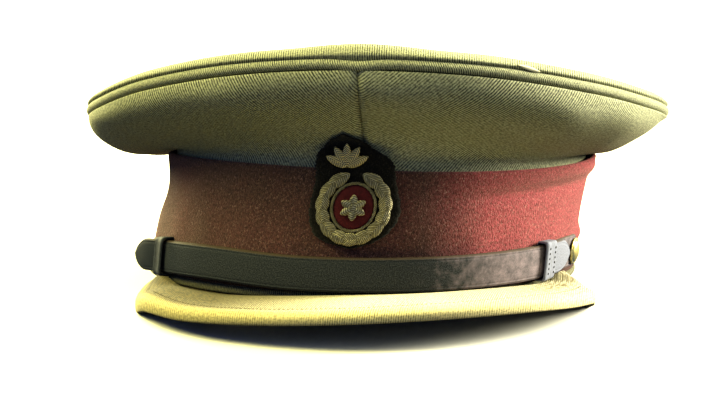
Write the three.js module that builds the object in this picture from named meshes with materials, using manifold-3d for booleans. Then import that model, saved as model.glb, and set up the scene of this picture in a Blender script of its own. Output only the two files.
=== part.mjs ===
// Officer's peaked cap: a soft crown of four quarters with a corded rim, a felt band, a stiff
// cloth-covered peak, a leather chin strap worn across the front and an embroidered badge.
// Millimetres, +Z up. The front faces -Y and left and right are the viewer's, so +X is right.
// Angles are in degrees round the band from the front, positive to the right.
import * as THREE from 'three';
import { mergeVertices } from 'three/addons/utils/BufferGeometryUtils.js';
import Module from 'manifold-3d';

const wasm = await Module();
wasm.setup();

// Driving dimensions
const GAP = 0.3;
const MERGE = 1e-3;
const HEAD = { halfWidth: 88, halfLength: 103 };
const REST = { tilt: 3, pressed: 0.8 };
const BAND = { height: 48.8, wall: 2.4, lean: 4.5, wave: 1.4 };
const BAND_LEVELS = { foot: 0, waist: 22, crease: 36, lip: 48.8 };
const WELT = { radius: 1.6, inset: 1.2 };
const CROWN = { wall: 1.8, tuck: 5, lift: 2, frontSeam: -0.9 };
const CORD = { radius: 2 };
const ROLL = { height: 3, width: 4, frontPeak: 1.3, frontSpread: 16 };
const TOP_SAG = 2;
const PEAK = { reach: 41.5, turn: 3, halfAngle: 62.5, board: 3, arch: 0.8, wingArch: 3 };
const PEAK_PLAN = { fullness: 2.4, corner: 1.7, trim: 0.998 };
const PEAK_EDGE = { high: 0.7, low: 0.4 };
const STRAP = { halfWidth: 6.35 };
const STRAP_BACK = { near: 1.4, far: 2.5, end: 71.2 };
const STRAP_FRONT = { near: 2.8, far: 4.4, crown: 0.3, leftEnd: -70.4, rightEnd: 61.5 };
const TAB = { start: -59.5, end: -71, standoff: 4.3, curl: 0.9 };
const KEEPER = { near: 0.3, back: 0.8, front: 1, side: 0.8 };
const KEEPERS = [
  { name: 'keeper_left', from: -60.6, to: -56 },
  { name: 'keeper_right', from: 48.4, to: 53.3 },
];
const BUTTON = { deg: 67, radius: 5.3, rim: 0.8, dome: 1.4, shank: 1.6, holeLength: 12 };
const PATCH = { deg: -1.5, height: 41.3, thick: 1.4 };
const WREATH = { side: -1, middle: -6, across: 11.3, up: 11.8, from: 24, to: 148 };
const WREATH_LEAF = { length: 8.6, width: 5, thick: 2 };
const VELVET = { length: 16.6, width: 14.6, thick: 1.6 };
const ROSETTE = { petals: 6, ring: 2.7, length: 4.4, width: 3, thick: 1.6 };
const ROSETTE_BOSS = { length: 3, width: 3, thick: 2.1 };
const PALMETTE = { side: -4.5, base: 9, length: 8.4, width: 3.4, thick: 2, fan: 32 };
const PALMETTE_BOSS = { length: 4.2, width: 4.2, thick: 2 };

// Facets: how finely each kind of surface is divided
const RING_STEPS = 60;
const QUARTER_STEPS = 6;
const PEAK_STEPS = 34;
const STRAP_STEPS = 36;
const KEEPER_STEPS = 3;
const PATCH_STEPS = 16;
const CORD_SIDES = 6;
const BUTTON_SIDES = 14;
const LEAF_FACETS = { sides: 6, rings: 4 };
const VELVET_FACETS = { sides: 14, rings: 4 };
const BAND_STATIONS = [0, 0.2, 0.45, 0.62, 0.75, 0.89, 1];
const PANEL_STATIONS = [0, 0.35, 0.7, 0.92];
const BOARD_STATIONS = [0.3, 0.6, 0.85];
const PATCH_STATIONS = [0, 0.3, 0.7, 1];
const ROUND_TURNS = [0, 22, 45, 68];
const DOME_TURNS = [0, 35, 65];
const HALVINGS = 24;

// Crown sections: where the quarter's edge meets the rim, and the two handles of the curve that
// runs there, measured outwards and upwards from the band's top edge
const CROWN_SECTIONS = [
  { deg: -180, over: 26, rise: 12, lowOut: 9, lowUp: 1, highOut: 27, highUp: 5 },
  { deg: -135, over: 29, rise: 9, lowOut: 11, lowUp: -3, highOut: 30, highUp: 3 },
  { deg: -110, over: 31, rise: 8.8, lowOut: 12, lowUp: -7, highOut: 27, highUp: -5 },
  { deg: -90, over: 31.5, rise: 12, lowOut: 12, lowUp: -6.5, highOut: 30.5, highUp: -1 },
  { deg: -65, over: 30.5, rise: 18.8, lowOut: 8, lowUp: 3.7, highOut: 32, highUp: 7.8 },
  { deg: -45, over: 29, rise: 26.9, lowOut: 3, lowUp: 10, highOut: 31, highUp: 13 },
  { deg: -22, over: 27.5, rise: 34.2, lowOut: -1, lowUp: 15.5, highOut: 29.5, highUp: 17 },
  { deg: 0, over: 27, rise: 37.1, lowOut: -2.5, lowUp: 18, highOut: 28.5, highUp: 19 },
  { deg: 22, over: 28, rise: 35.6, lowOut: -1, lowUp: 15.5, highOut: 30, highUp: 16.5 },
  { deg: 45, over: 29, rise: 29.2, lowOut: 3, lowUp: 10, highOut: 30.5, highUp: 12 },
  { deg: 65, over: 29.5, rise: 22, lowOut: 6.5, lowUp: 4.5, highOut: 27.5, highUp: 9 },
  { deg: 90, over: 29.5, rise: 14.6, lowOut: 8, lowUp: -3, highOut: 17, highUp: 7 },
  { deg: 135, over: 28, rise: 10, lowOut: 11, lowUp: 0, highOut: 28, highUp: 3 },
];

// Band sections: how far the felt stands out from its plain oval at four heights
const BAND_SECTIONS = [
  { deg: -180, foot: 0, waist: 0, crease: 0, lip: 0 },
  { deg: -135, foot: 1.6, waist: 0.7, crease: 0, lip: 0 },
  { deg: -90, foot: 4, waist: 1.7, crease: -1.6, lip: 0 },
  { deg: -45, foot: 1, waist: 0.3, crease: -0.2, lip: 0.2 },
  { deg: 0, foot: 0, waist: 0, crease: 0, lip: 0.2 },
  { deg: 45, foot: 0, waist: 0, crease: -1.4, lip: 0.8 },
  { deg: 90, foot: -2, waist: -2.4, crease: -1, lip: 2.5 },
  { deg: 135, foot: -0.6, waist: -0.8, crease: 0, lip: 0.4 },
];

// Peak sections: height of the edge's underside above the table, which the corners meet, depth of
// the rolled edge, and height of the upper face at the root above the band's lower edge
const PEAK_SECTIONS = [
  { deg: -62, under: 3, edge: 6, root: -0.3 },
  { deg: -56, under: -0.8, edge: 8.5, root: -0.3 },
  { deg: -50, under: 0, edge: 8, root: -0.3 },
  { deg: -42, under: 4.2, edge: 6.5, root: -0.3 },
  { deg: -30, under: 5.6, edge: 5.4, root: 0.3 },
  { deg: -15, under: 8, edge: 5, root: 1.8 },
  { deg: 0, under: 9.9, edge: 5, root: 2.9 },
  { deg: 15, under: 11, edge: 5, root: 3.2 },
  { deg: 30, under: 10.4, edge: 5, root: 3.4 },
  { deg: 42, under: 8.2, edge: 5, root: 3 },
  { deg: 52, under: 5.4, edge: 5.4, root: 2.4 },
  { deg: 58, under: 1.5, edge: 6.4, root: 4.4 },
  { deg: 62, under: -0.8, edge: 7, root: 5 },
  { deg: 66, under: 3, edge: 6, root: 4.6 },
];

// Strap sections: height of the strap's middle line above the band's lower edge
const STRAP_SECTIONS = [
  { deg: -72, height: 9.4 },
  { deg: -57, height: 10.8 },
  { deg: -37, height: 11.7 },
  { deg: -14, height: 10.5 },
  { deg: 17, height: 10.4 },
  { deg: 46, height: 11.4 },
  { deg: 60, height: 12.6 },
  { deg: 72, height: 12.6 },
];

// Outline of the badge's patch: its left and right edges at each height above its middle
const PATCH_OUTLINE = [
  { up: -20.8, left: -6.5, right: 4.5 },
  { up: -18.4, left: -12.4, right: 8.8 },
  { up: -15.5, left: -15.6, right: 12.6 },
  { up: -10, left: -17.4, right: 15.8 },
  { up: -5, left: -17.4, right: 15.8 },
  { up: 3.5, left: -16.2, right: 13.4 },
  { up: 11, left: -16.4, right: 11.6 },
  { up: 14.4, left: -15, right: 6.6 },
  { up: 17.7, left: -11.6, right: 1.8 },
  { up: 20.4, left: -8.4, right: -2.6 },
];

const rad = THREE.MathUtils.degToRad;
const lerp = THREE.MathUtils.lerp;

// Evenly spaced numbers from one end to the other
function spread(from, to, steps) {
  return Array.from({ length: steps + 1 }, (_, k) => lerp(from, to, k / steps));
}

// A smooth hump, 1 at the middle angle and 0 beyond its spread
function near(deg, middle, halfSpread) {
  const far = Math.min(Math.abs(deg - middle) / halfSpread, 1);
  return (1 + Math.cos(Math.PI * far)) / 2;
}

// One column of a table at a value of its key column, by a cubic through the rows. A table that
// goes all the way round repeats after its period.
function along(table, key, column, value, period = 0) {
  const count = table.length;
  const row = (k) => {
    const turns = period ? Math.floor(k / count) : 0;
    const own = table[period ? k - turns * count : THREE.MathUtils.clamp(k, 0, count - 1)];
    return { at: own[key] + period * turns, value: own[column] };
  };
  const slope = (a, b) => (b.at === a.at ? 0 : (b.value - a.value) / (b.at - a.at));
  let k = 0;
  while (k < (period ? count - 1 : count - 2) && value > row(k + 1).at) {
    k += 1;
  }
  const a = row(k);
  const b = row(k + 1);
  const width = b.at - a.at;
  const t = THREE.MathUtils.clamp((value - a.at) / width, 0, 1);
  const startSlope = slope(row(k - 1), b) * width;
  const endSlope = slope(a, row(k + 2)) * width;
  const start = a.value * (2 * t ** 3 - 3 * t ** 2 + 1) + startSlope * (t ** 3 - 2 * t ** 2 + t);
  const end = b.value * (3 * t ** 2 - 2 * t ** 3) + endSlope * (t ** 3 - t ** 2);
  return start + end;
}

// A point a distance out from the plain oval of the band at a height above its lower edge, with
// the band's lean to the right, in the cap's own level frame
function levelPoint(deg, out, height) {
  const lean = BAND.lean * Math.min(height / BAND.height, 1);
  const x = (HEAD.halfWidth + out) * Math.sin(rad(deg)) + lean;
  const y = -(HEAD.halfLength + out) * Math.cos(rad(deg));
  return new THREE.Vector3(x, y, height);
}

// The same point with the cap tipped back about the band's rear lower edge, as it rests
function tipped(deg, out, height) {
  const point = levelPoint(deg, out, height);
  const tilt = rad(REST.tilt);
  const back = point.y - HEAD.halfLength;
  point.y = HEAD.halfLength + back * Math.cos(tilt) + height * Math.sin(tilt);
  point.z = height * Math.cos(tilt) - back * Math.sin(tilt) - REST.pressed;
  return point;
}

// The tipped point, flattened where it would pass the table
function restPoint(deg, out, height) {
  const point = tipped(deg, out, height);
  point.z = Math.max(point.z, 0);
  return point;
}

// One closed solid from columns of matching outer and inner points: a ring, or a strip whose two
// ends are closed flat
function wallSolid(columns, ring) {
  const loops = columns.map((column) => [...column.outer, ...[...column.inner].reverse()]);
  const size = loops[0].length;
  const half = size / 2;
  const triangles = [];
  const quad = (a, b, c, d) => triangles.push([a, b, c], [a, c, d]);
  const last = ring ? loops.length : loops.length - 1;
  for (let i = 0; i < last; i += 1) {
    const j = (i + 1) % loops.length;
    for (let k = 0; k < size; k += 1) {
      const next = (k + 1) % size;
      quad(i * size + k, j * size + k, j * size + next, i * size + next);
    }
  }
  const end = (loops.length - 1) * size;
  for (let k = 0; k < half - 1 && !ring; k += 1) {
    const far = size - 1 - k;
    quad(k, k + 1, far - 1, far);
    quad(end + far, end + far - 1, end + k + 1, end + k);
  }
  const geometry = new THREE.BufferGeometry().setFromPoints(loops.flat());
  geometry.setIndex(triangles.flat());
  return closedGeometry(geometry);
}

// A bare geometry with its coinciding points merged, its empty triangles dropped and its faces
// turned outwards
function closedGeometry(source) {
  const bare = source.clone();
  bare.deleteAttribute('normal');
  bare.deleteAttribute('uv');
  const geometry = mergeVertices(bare, MERGE);
  const index = geometry.getIndex().array;
  const position = geometry.getAttribute('position');
  const corner = (k) => new THREE.Vector3().fromBufferAttribute(position, index[k]);
  const kept = [];
  let volume = 0;
  for (let k = 0; k < index.length; k += 3) {
    const [a, b, c] = index.slice(k, k + 3);
    if (a !== b && b !== c && c !== a) {
      kept.push(a, b, c);
      volume += corner(k).dot(corner(k + 1).cross(corner(k + 2)));
    }
  }
  geometry.setIndex(volume < 0 ? kept.reverse() : kept);
  return geometry;
}

// Solids for joining and cutting, and back to geometry
function toSolid(geometry) {
  const bare = closedGeometry(geometry);
  const vertProperties = Float32Array.from(bare.getAttribute('position').array);
  const triVerts = Uint32Array.from(bare.getIndex().array);
  return new wasm.Manifold(new wasm.Mesh({ numProp: 3, vertProperties, triVerts }));
}

function toGeometry(solid) {
  const mesh = solid.getMesh();
  const geometry = new THREE.BufferGeometry();
  geometry.setAttribute('position', new THREE.BufferAttribute(Float32Array.from(mesh.vertProperties), 3));
  geometry.setIndex(Array.from(mesh.triVerts));
  return geometry;
}

function joined(geometries) {
  return toGeometry(geometries.map(toSolid).reduce((all, next) => all.add(next)));
}

// How far the band's felt stands out from its plain oval at an angle and a height
function bandOut(deg, height) {
  const rows = Object.entries(BAND_LEVELS).map(([level, up]) => ({
    up,
    out: along(BAND_SECTIONS, 'deg', level, deg, 360),
  }));
  return along(rows, 'up', 'out', height);
}

// The band's top edge waves: higher at the front left, lower at the front right
function bandTop(deg) {
  return BAND.height - BAND.wave * Math.sin(rad(2 * deg));
}

function ringAngles() {
  return spread(-180, 180, RING_STEPS).slice(1);
}

function bandGeometry() {
  const lower = 2 * WELT.radius + GAP;
  const columns = ringAngles().map((deg) => {
    const heights = BAND_STATIONS.map((station) => lerp(lower, bandTop(deg), station));
    const skin = (inset) => heights.map((height) => restPoint(deg, bandOut(deg, height) - inset, height));
    return { outer: skin(0), inner: skin(BAND.wall) };
  });
  return wallSolid(columns, true);
}

// A round cord along a path of centres, given as a distance out and a height at each angle
function cordGeometry(radius, centre) {
  const columns = ringAngles().map((deg) => {
    const { out, height } = centre(deg);
    const points = spread(0, 360, CORD_SIDES).slice(1).map((turn) => {
      const across = radius * Math.cos(rad(turn));
      return restPoint(deg, out + across, height + radius * Math.sin(rad(turn)));
    });
    return { outer: points.slice(0, CORD_SIDES / 2), inner: points.slice(CORD_SIDES / 2).reverse() };
  });
  return wallSolid(columns, true);
}

function weltGeometry() {
  return cordGeometry(WELT.radius, (deg) => ({ out: bandOut(deg, 0) - WELT.inset, height: WELT.radius }));
}

// A crown section: the rim's place and the curve from the band's top edge out to it
function crownSection(deg) {
  const value = (column) => along(CROWN_SECTIONS, 'deg', column, deg, 360);
  const felt = Math.min(bandOut(deg, bandTop(deg)), bandOut(deg, bandTop(deg) - CROWN.tuck));
  const seat = new THREE.Vector2(felt - BAND.wall - 1.5 * GAP, CROWN.lift);
  const low = new THREE.Vector2(value('lowOut'), value('lowUp'));
  const high = new THREE.Vector2(value('highOut'), value('highUp'));
  const rim = new THREE.Vector2(value('over'), value('rise'));
  return { seat, rim, curve: new THREE.CubicBezierCurve(seat, low, high, rim) };
}

function crownPoint(deg, offset) {
  return restPoint(deg, offset.x, bandTop(deg) + offset.y);
}

// One quarter: it stands inside the band's top edge, then swells out to the rim
function quarterGeometry(from, to) {
  const seam = THREE.MathUtils.radToDeg(GAP / 2 / HEAD.halfWidth);
  const between = ringAngles().filter((deg) => deg > from + 1 && deg < to - 1);
  const columns = [from + seam, ...between, to - seam].map((deg) => {
    const { seat, curve } = crownSection(deg);
    const foot = new THREE.Vector2(seat.x, -CROWN.tuck);
    const steps = spread(0, 1, QUARTER_STEPS);
    const outer = [foot, ...steps.map((t) => curve.getPoint(t))];
    const ahead = [new THREE.Vector2(0, 1), ...steps.map((t) => curve.getTangent(t))];
    ahead[1].set(0, 1);
    ahead.at(-1).set(0, 1);
    const inner = outer.map((point, k) => {
      const inwards = new THREE.Vector2(-ahead[k].y, ahead[k].x);
      return inwards.multiplyScalar(CROWN.wall).add(point);
    });
    return {
      outer: outer.map((offset) => crownPoint(deg, offset)),
      inner: inner.map((offset) => crownPoint(deg, offset)),
    };
  });
  return wallSolid(columns, false);
}

// The rim's cord sits on the quarters' upper edges
function pipingGeometry() {
  return cordGeometry(CORD.radius, (deg) => {
    const { rim } = crownSection(deg);
    return { out: rim.x, height: bandTop(deg) + rim.y + GAP + CORD.radius };
  });
}

// The top panel: a slightly sagging oval whose edge rolls down to the rim's cord
function topGeometry() {
  const rimOffsets = (deg, inset) => {
    const { rim } = crownSection(deg);
    const base = rim.y + 2 * GAP + 2 * CORD.radius;
    const roll = ROLL.height + ROLL.frontPeak * near(deg, 0, ROLL.frontSpread);
    return [
      new THREE.Vector2(rim.x - ROLL.width, base + roll + GAP - inset),
      new THREE.Vector2(rim.x - ROLL.width / 3 - inset / 2, base + roll - inset),
      new THREE.Vector2(rim.x + GAP - inset, base + roll / 2),
      new THREE.Vector2(rim.x - inset, base),
    ];
  };
  const angles = ringAngles();
  const edges = angles.map((deg) => crownPoint(deg, rimOffsets(deg, 0)[0]));
  const middle = new THREE.Vector3();
  edges.forEach((point) => middle.addScaledVector(point, 1 / edges.length));
  const panel = (edge, inset) => PANEL_STATIONS.map((part) => {
    const point = new THREE.Vector3().lerpVectors(middle, edge, part);
    point.z -= TOP_SAG * (1 - part ** 2) + inset;
    return point;
  });
  const columns = angles.map((deg, k) => {
    const skin = (inset) => {
      const rolled = rimOffsets(deg, inset).map((offset) => crownPoint(deg, offset));
      return [...panel(edges[k], inset), ...rolled];
    };
    return { outer: skin(0), inner: skin(CROWN.wall) };
  });
  return wallSolid(columns, true);
}

// The peak: a board whose root runs under the welt and up in front of it, thickening to a rolled
// edge whose corners droop to the table
function peakGeometry() {
  const half = PEAK_PLAN.trim * PEAK.halfAngle;
  const angles = spread(-90, 90, PEAK_STEPS).map((turn) => PEAK.turn + half * Math.sin(rad(turn)));
  const columns = angles.map((deg) => {
    const part = Math.abs(deg - PEAK.turn) / PEAK.halfAngle;
    const reach = PEAK.reach * (1 - part ** PEAK_PLAN.fullness) ** (1 / PEAK_PLAN.corner);
    const under = along(PEAK_SECTIONS, 'deg', 'under', deg);
    const root = along(PEAK_SECTIONS, 'deg', 'root', deg);
    const edge = along(PEAK_SECTIONS, 'deg', 'edge', deg);
    const front = bandOut(deg, 0) + WELT.radius - WELT.inset + GAP;
    const at = (out, height) => {
      const point = tipped(deg, out, 0);
      point.z = Math.max(height, 0);
      return point;
    };
    const plane = (out) => tipped(deg, out, 0).z;
    const rootTop = plane(front) + root;
    const lip = Math.min(edge / 3, reach / 4);
    const arch = (PEAK.arch + PEAK.wingArch * part ** 4) * Math.min(2 * reach / PEAK.reach, 1);
    const tongue = front - 2 * WELT.radius;
    const edgeOut = front + reach;
    const outer = [
      at(tongue, plane(tongue) - GAP),
      at(front, plane(front) - GAP),
      at(front + GAP, rootTop),
    ];
    const inner = [
      at(tongue, plane(tongue) - GAP - PEAK.board / 2),
      at(front, plane(front) - GAP - PEAK.board / 2),
      at(front + GAP, rootTop - PEAK.board),
    ];
    for (const s of BOARD_STATIONS) {
      const swell = arch * 4 * s * (1 - s);
      const out = lerp(front + GAP, edgeOut - lip, s);
      const top = lerp(rootTop, under + edge, s) + swell;
      outer.push(at(out, top));
      inner.push(at(out, lerp(rootTop - PEAK.board, under + edge - PEAK.board, s) + swell));
    }
    outer.push(at(edgeOut - lip, under + edge), at(edgeOut, under + PEAK_EDGE.high * edge));
    inner.push(at(edgeOut - lip, under), at(edgeOut, under + PEAK_EDGE.low * edge));
    return { outer, inner };
  });
  return wallSolid(columns, false);
}

// A point of the strap: a distance out from the felt under it and a distance above its middle line
function strapPoint(deg, out, side) {
  const height = along(STRAP_SECTIONS, 'deg', 'height', deg);
  const under = [-1, 0, 1].map((edge) => bandOut(deg, height + edge * STRAP.halfWidth));
  return restPoint(deg, Math.max(...under) + out, height + side);
}

// How far the strap's free tab has sprung away from the band, over the button under it
function tabStandoff(deg) {
  const part = Math.max((deg - TAB.start) / (TAB.end - TAB.start), 0);
  return TAB.standoff * part ** TAB.curl;
}

// A flat strap along the band with rounded ends, crowned by a little on its face
function strapGeometry(from, to, nearFace, farFace, crown, standoff) {
  const degPerMm = THREE.MathUtils.radToDeg(1 / HEAD.halfLength);
  const roundDeg = STRAP.halfWidth * degPerMm;
  const start = ROUND_TURNS.map((turn) => ({
    deg: from + roundDeg * (1 - Math.cos(rad(turn))),
    half: STRAP.halfWidth * Math.sin(rad(turn)),
  }));
  const middle = spread(from + roundDeg, to - roundDeg, STRAP_STEPS).map((deg) => ({
    deg,
    half: STRAP.halfWidth,
  }));
  const end = start.map(({ deg, half }) => ({ deg: to + from - deg, half })).reverse();
  const columns = [...start, ...middle, ...end].map(({ deg, half }) => {
    const lift = standoff(deg);
    const face = (out, swell) => [-1, 0, 1].map((side) => {
      const bulge = swell * (1 - Math.abs(side)) * half / STRAP.halfWidth;
      return strapPoint(deg, out + lift + bulge, side * half);
    });
    return { outer: face(farFace, crown), inner: face(nearFace, 0) };
  });
  return wallSolid(columns, false);
}

function strapFrontGeometry() {
  const { leftEnd, rightEnd, near: nearFace, far, crown } = STRAP_FRONT;
  return strapGeometry(leftEnd, rightEnd, nearFace, far, crown, tabStandoff);
}

// The under layer runs from button to button, with a round hole for each shank
function strapBackGeometry() {
  const { near: nearFace, far, end } = STRAP_BACK;
  const strap = toSolid(strapGeometry(-end, end, nearFace, far, 0, () => 0));
  const holeRadius = BUTTON.shank + GAP;
  const hole = new THREE.CylinderGeometry(holeRadius, holeRadius, BUTTON.holeLength, BUTTON_SIDES);
  const cut = [-BUTTON.deg, BUTTON.deg].map((deg) => {
    const placed = hole.clone();
    placed.applyMatrix4(buttonPlace(deg));
    return toSolid(placed);
  });
  return toGeometry(cut.reduce((rest, tool) => rest.subtract(tool), strap));
}

// Where a button's axis leaves the band, with +Y turned along it
function buttonPlace(deg) {
  const foot = strapPoint(deg, 0, 0);
  const ahead = strapPoint(deg + 1, 0, 0).sub(strapPoint(deg - 1, 0, 0));
  const up = strapPoint(deg, 0, 1).sub(foot);
  const outwards = ahead.cross(up).normalize();
  const turn = new THREE.Quaternion().setFromUnitVectors(new THREE.Vector3(0, 1, 0), outwards);
  return new THREE.Matrix4().compose(foot, turn, new THREE.Vector3(1, 1, 1));
}

// A domed button on its shank
function buttonGeometry() {
  const seat = STRAP_BACK.far + GAP;
  const profile = [
    new THREE.Vector2(0, GAP),
    new THREE.Vector2(BUTTON.shank, GAP),
    new THREE.Vector2(BUTTON.shank, seat),
    new THREE.Vector2(BUTTON.radius - BUTTON.rim / 2, seat),
    new THREE.Vector2(BUTTON.radius, seat + BUTTON.rim / 2),
    new THREE.Vector2(BUTTON.radius - BUTTON.rim / 2, seat + BUTTON.rim),
  ];
  const domeRadius = BUTTON.radius - 1.2 * BUTTON.rim;
  for (const turn of DOME_TURNS) {
    const across = domeRadius * Math.cos(rad(turn));
    profile.push(new THREE.Vector2(across, seat + BUTTON.rim + BUTTON.dome * Math.sin(rad(turn))));
  }
  profile.push(new THREE.Vector2(0, seat + BUTTON.rim + BUTTON.dome));
  return closedGeometry(new THREE.LatheGeometry(profile, BUTTON_SIDES));
}

// A leather loop round both layers of the strap
function keeperGeometry(from, to) {
  const inside = STRAP.halfWidth + GAP;
  const nearIn = KEEPER.near + KEEPER.back;
  const farIn = STRAP_FRONT.far + STRAP_FRONT.crown + GAP;
  const hoop = (deg, grow) => {
    const lift = tabStandoff(deg);
    const lowOut = nearIn - KEEPER.back * grow;
    const highOut = farIn + lift + KEEPER.front * grow;
    const half = inside + KEEPER.side * grow;
    return [
      strapPoint(deg, lowOut, -half),
      strapPoint(deg, highOut, -half),
      strapPoint(deg, highOut, 0),
      strapPoint(deg, highOut, half),
      strapPoint(deg, lowOut, half),
    ];
  };
  const stations = spread(from, to, KEEPER_STEPS);
  const corners = hoop(from, 0).map((_, k) => ({
    outer: stations.map((deg) => hoop(deg, 1)[k]),
    inner: stations.map((deg) => hoop(deg, 0)[k]),
  }));
  return wallSolid(corners, true);
}

// Distance out of the crown's cloth at a height above the band's top edge, near the front
function crownOut(deg, up) {
  const { seat, curve } = crownSection(deg);
  if (up <= seat.y) {
    return seat.x;
  }
  let low = 0;
  let high = 1;
  for (let k = 0; k < HALVINGS; k += 1) {
    const t = (low + high) / 2;
    if (curve.getPoint(t).y < up) {
      low = t;
    } else {
      high = t;
    }
  }
  return curve.getPoint(low).x;
}

// A point on the badge: across, up and a lift from the patch's back, laid on band and crown
function badgePoint(across, up, lift) {
  const deg = PATCH.deg + THREE.MathUtils.radToDeg(across / HEAD.halfWidth);
  const height = PATCH.height + up;
  const overCrown = crownOut(deg, height - bandTop(deg)) + 2 * GAP;
  const backing = Math.max(bandOut(deg, height), overCrown, 0);
  return restPoint(deg, backing + GAP + lift, height);
}

function patchGeometry() {
  const columns = spread(PATCH_OUTLINE[0].up, PATCH_OUTLINE.at(-1).up, PATCH_STEPS).map((up) => {
    const left = along(PATCH_OUTLINE, 'up', 'left', up);
    const right = along(PATCH_OUTLINE, 'up', 'right', up);
    const face = (lift) => PATCH_STATIONS.map((part) => badgePoint(lerp(left, right, part), up, lift));
    return { outer: face(PATCH.thick), inner: face(0) };
  });
  return wallSolid(columns, false);
}

// A raised leaf or petal lying flat, from its middle, its long way turned from upright
function leaf(across, up, { length, width, thick }, turn) {
  const shape = new THREE.SphereGeometry(1, LEAF_FACETS.sides, LEAF_FACETS.rings);
  shape.scale(width / 2, length / 2, thick / 2);
  shape.rotateZ(rad(-turn));
  shape.translate(across, up, PATCH.thick + GAP + thick / 2);
  return shape;
}

// Lay flat work, drawn as across, up and lift, on the patch
function laidOnPatch(geometry) {
  const laid = geometry.clone();
  const position = laid.getAttribute('position');
  for (let k = 0; k < position.count; k += 1) {
    const point = badgePoint(position.getX(k), position.getY(k), position.getZ(k));
    position.setXYZ(k, point.x, point.y, point.z);
  }
  return laid;
}

function wreathGeometry() {
  const leaves = [leaf(WREATH.side, WREATH.middle - WREATH.up, WREATH_LEAF, 90)];
  for (const turn of spread(WREATH.from, WREATH.to, 5)) {
    for (const side of [-1, 1]) {
      const across = WREATH.side + side * WREATH.across * Math.sin(rad(turn));
      const up = WREATH.middle - WREATH.up * Math.cos(rad(turn));
      const lean = side * (90 - turn);
      leaves.push(leaf(across, up, WREATH_LEAF, lean));
    }
  }
  return laidOnPatch(joined(leaves));
}

function velvetGeometry() {
  const shape = new THREE.SphereGeometry(1, VELVET_FACETS.sides, VELVET_FACETS.rings);
  shape.rotateX(Math.PI / 2);
  shape.scale(VELVET.width / 2, VELVET.length / 2, VELVET.thick / 2);
  shape.translate(WREATH.side, WREATH.middle, PATCH.thick + GAP + VELVET.thick / 2);
  return laidOnPatch(closedGeometry(shape));
}

function rosetteGeometry() {
  const petals = [leaf(0, 0, ROSETTE_BOSS, 0)];
  for (let k = 0; k < ROSETTE.petals; k += 1) {
    const turn = 360 * k / ROSETTE.petals;
    const across = ROSETTE.ring * Math.sin(rad(turn));
    const up = ROSETTE.ring * Math.cos(rad(turn));
    petals.push(leaf(across, up, ROSETTE, turn));
  }
  const flower = joined(petals);
  flower.translate(WREATH.side, WREATH.middle, VELVET.thick + GAP);
  return laidOnPatch(flower);
}

function palmetteGeometry() {
  const petals = [leaf(PALMETTE.side, PALMETTE.base, PALMETTE_BOSS, 0)];
  for (const k of [-2, -1, 0, 1, 2]) {
    const turn = PALMETTE.fan * k;
    const across = PALMETTE.side + PALMETTE.length / 2 * Math.sin(rad(turn));
    const up = PALMETTE.base + PALMETTE.length / 2 * Math.cos(rad(turn));
    petals.push(leaf(across, up, PALMETTE, turn));
  }
  return laidOnPatch(joined(petals));
}

const khaki = new THREE.MeshStandardMaterial({ color: 0x7d7448, roughness: 0.9, metalness: 0 });
const redFelt = new THREE.MeshStandardMaterial({ color: 0x7e2b2b, roughness: 0.95, metalness: 0 });
const darkFelt = new THREE.MeshStandardMaterial({ color: 0x1c1a17, roughness: 0.95, metalness: 0 });
const velvet = new THREE.MeshStandardMaterial({ color: 0x4a1518, roughness: 0.9, metalness: 0 });
const bullion = new THREE.MeshStandardMaterial({ color: 0x9a7f45, roughness: 0.45, metalness: 0.8 });
const leather = new THREE.MeshStandardMaterial({ color: 0x33261f, roughness: 0.5, metalness: 0 });
const gilt = new THREE.MeshStandardMaterial({ color: 0xb59a58, roughness: 0.35, metalness: 1 });

const cap = new THREE.Group();

function add(name, geometry, material) {
  const mesh = new THREE.Mesh(geometry, material);
  mesh.name = name;
  cap.add(mesh);
  return mesh;
}

add('crown_top', topGeometry(), khaki);
add('rim_piping', pipingGeometry(), khaki);
add('quarter_front_left', quarterGeometry(-90, CROWN.frontSeam), khaki);
add('quarter_front_right', quarterGeometry(CROWN.frontSeam, 90), khaki);
add('quarter_back_left', quarterGeometry(-180, -90), khaki);
add('quarter_back_right', quarterGeometry(90, 180), khaki);
add('band', bandGeometry(), redFelt);
add('band_welt', weltGeometry(), khaki);
add('peak', peakGeometry(), khaki);
add('badge_patch', patchGeometry(), darkFelt);
add('badge_wreath', wreathGeometry(), bullion);
add('badge_velvet', velvetGeometry(), velvet);
add('badge_rosette', rosetteGeometry(), bullion);
add('badge_palmette', palmetteGeometry(), bullion);
add('strap_front', strapFrontGeometry(), leather);
add('strap_back', strapBackGeometry(), leather);
for (const { name, from, to } of KEEPERS) {
  add(name, keeperGeometry(from, to), leather);
}
for (const [name, deg] of [['button_left', -BUTTON.deg], ['button_right', BUTTON.deg]]) {
  add(name, buttonGeometry(), gilt).applyMatrix4(buttonPlace(deg));
}

// The origin is the middle of the cap's footprint, on the table
const box = new THREE.Box3().setFromObject(cap, true);
const centre = box.getCenter(new THREE.Vector3());
cap.position.set(-centre.x, -centre.y, -box.min.z);
cap.updateMatrixWorld(true);

export default cap;
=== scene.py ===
"""Looks of a khaki peaked cap: cloth, felt, leather, bullion and the studio round it."""
import math

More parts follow.
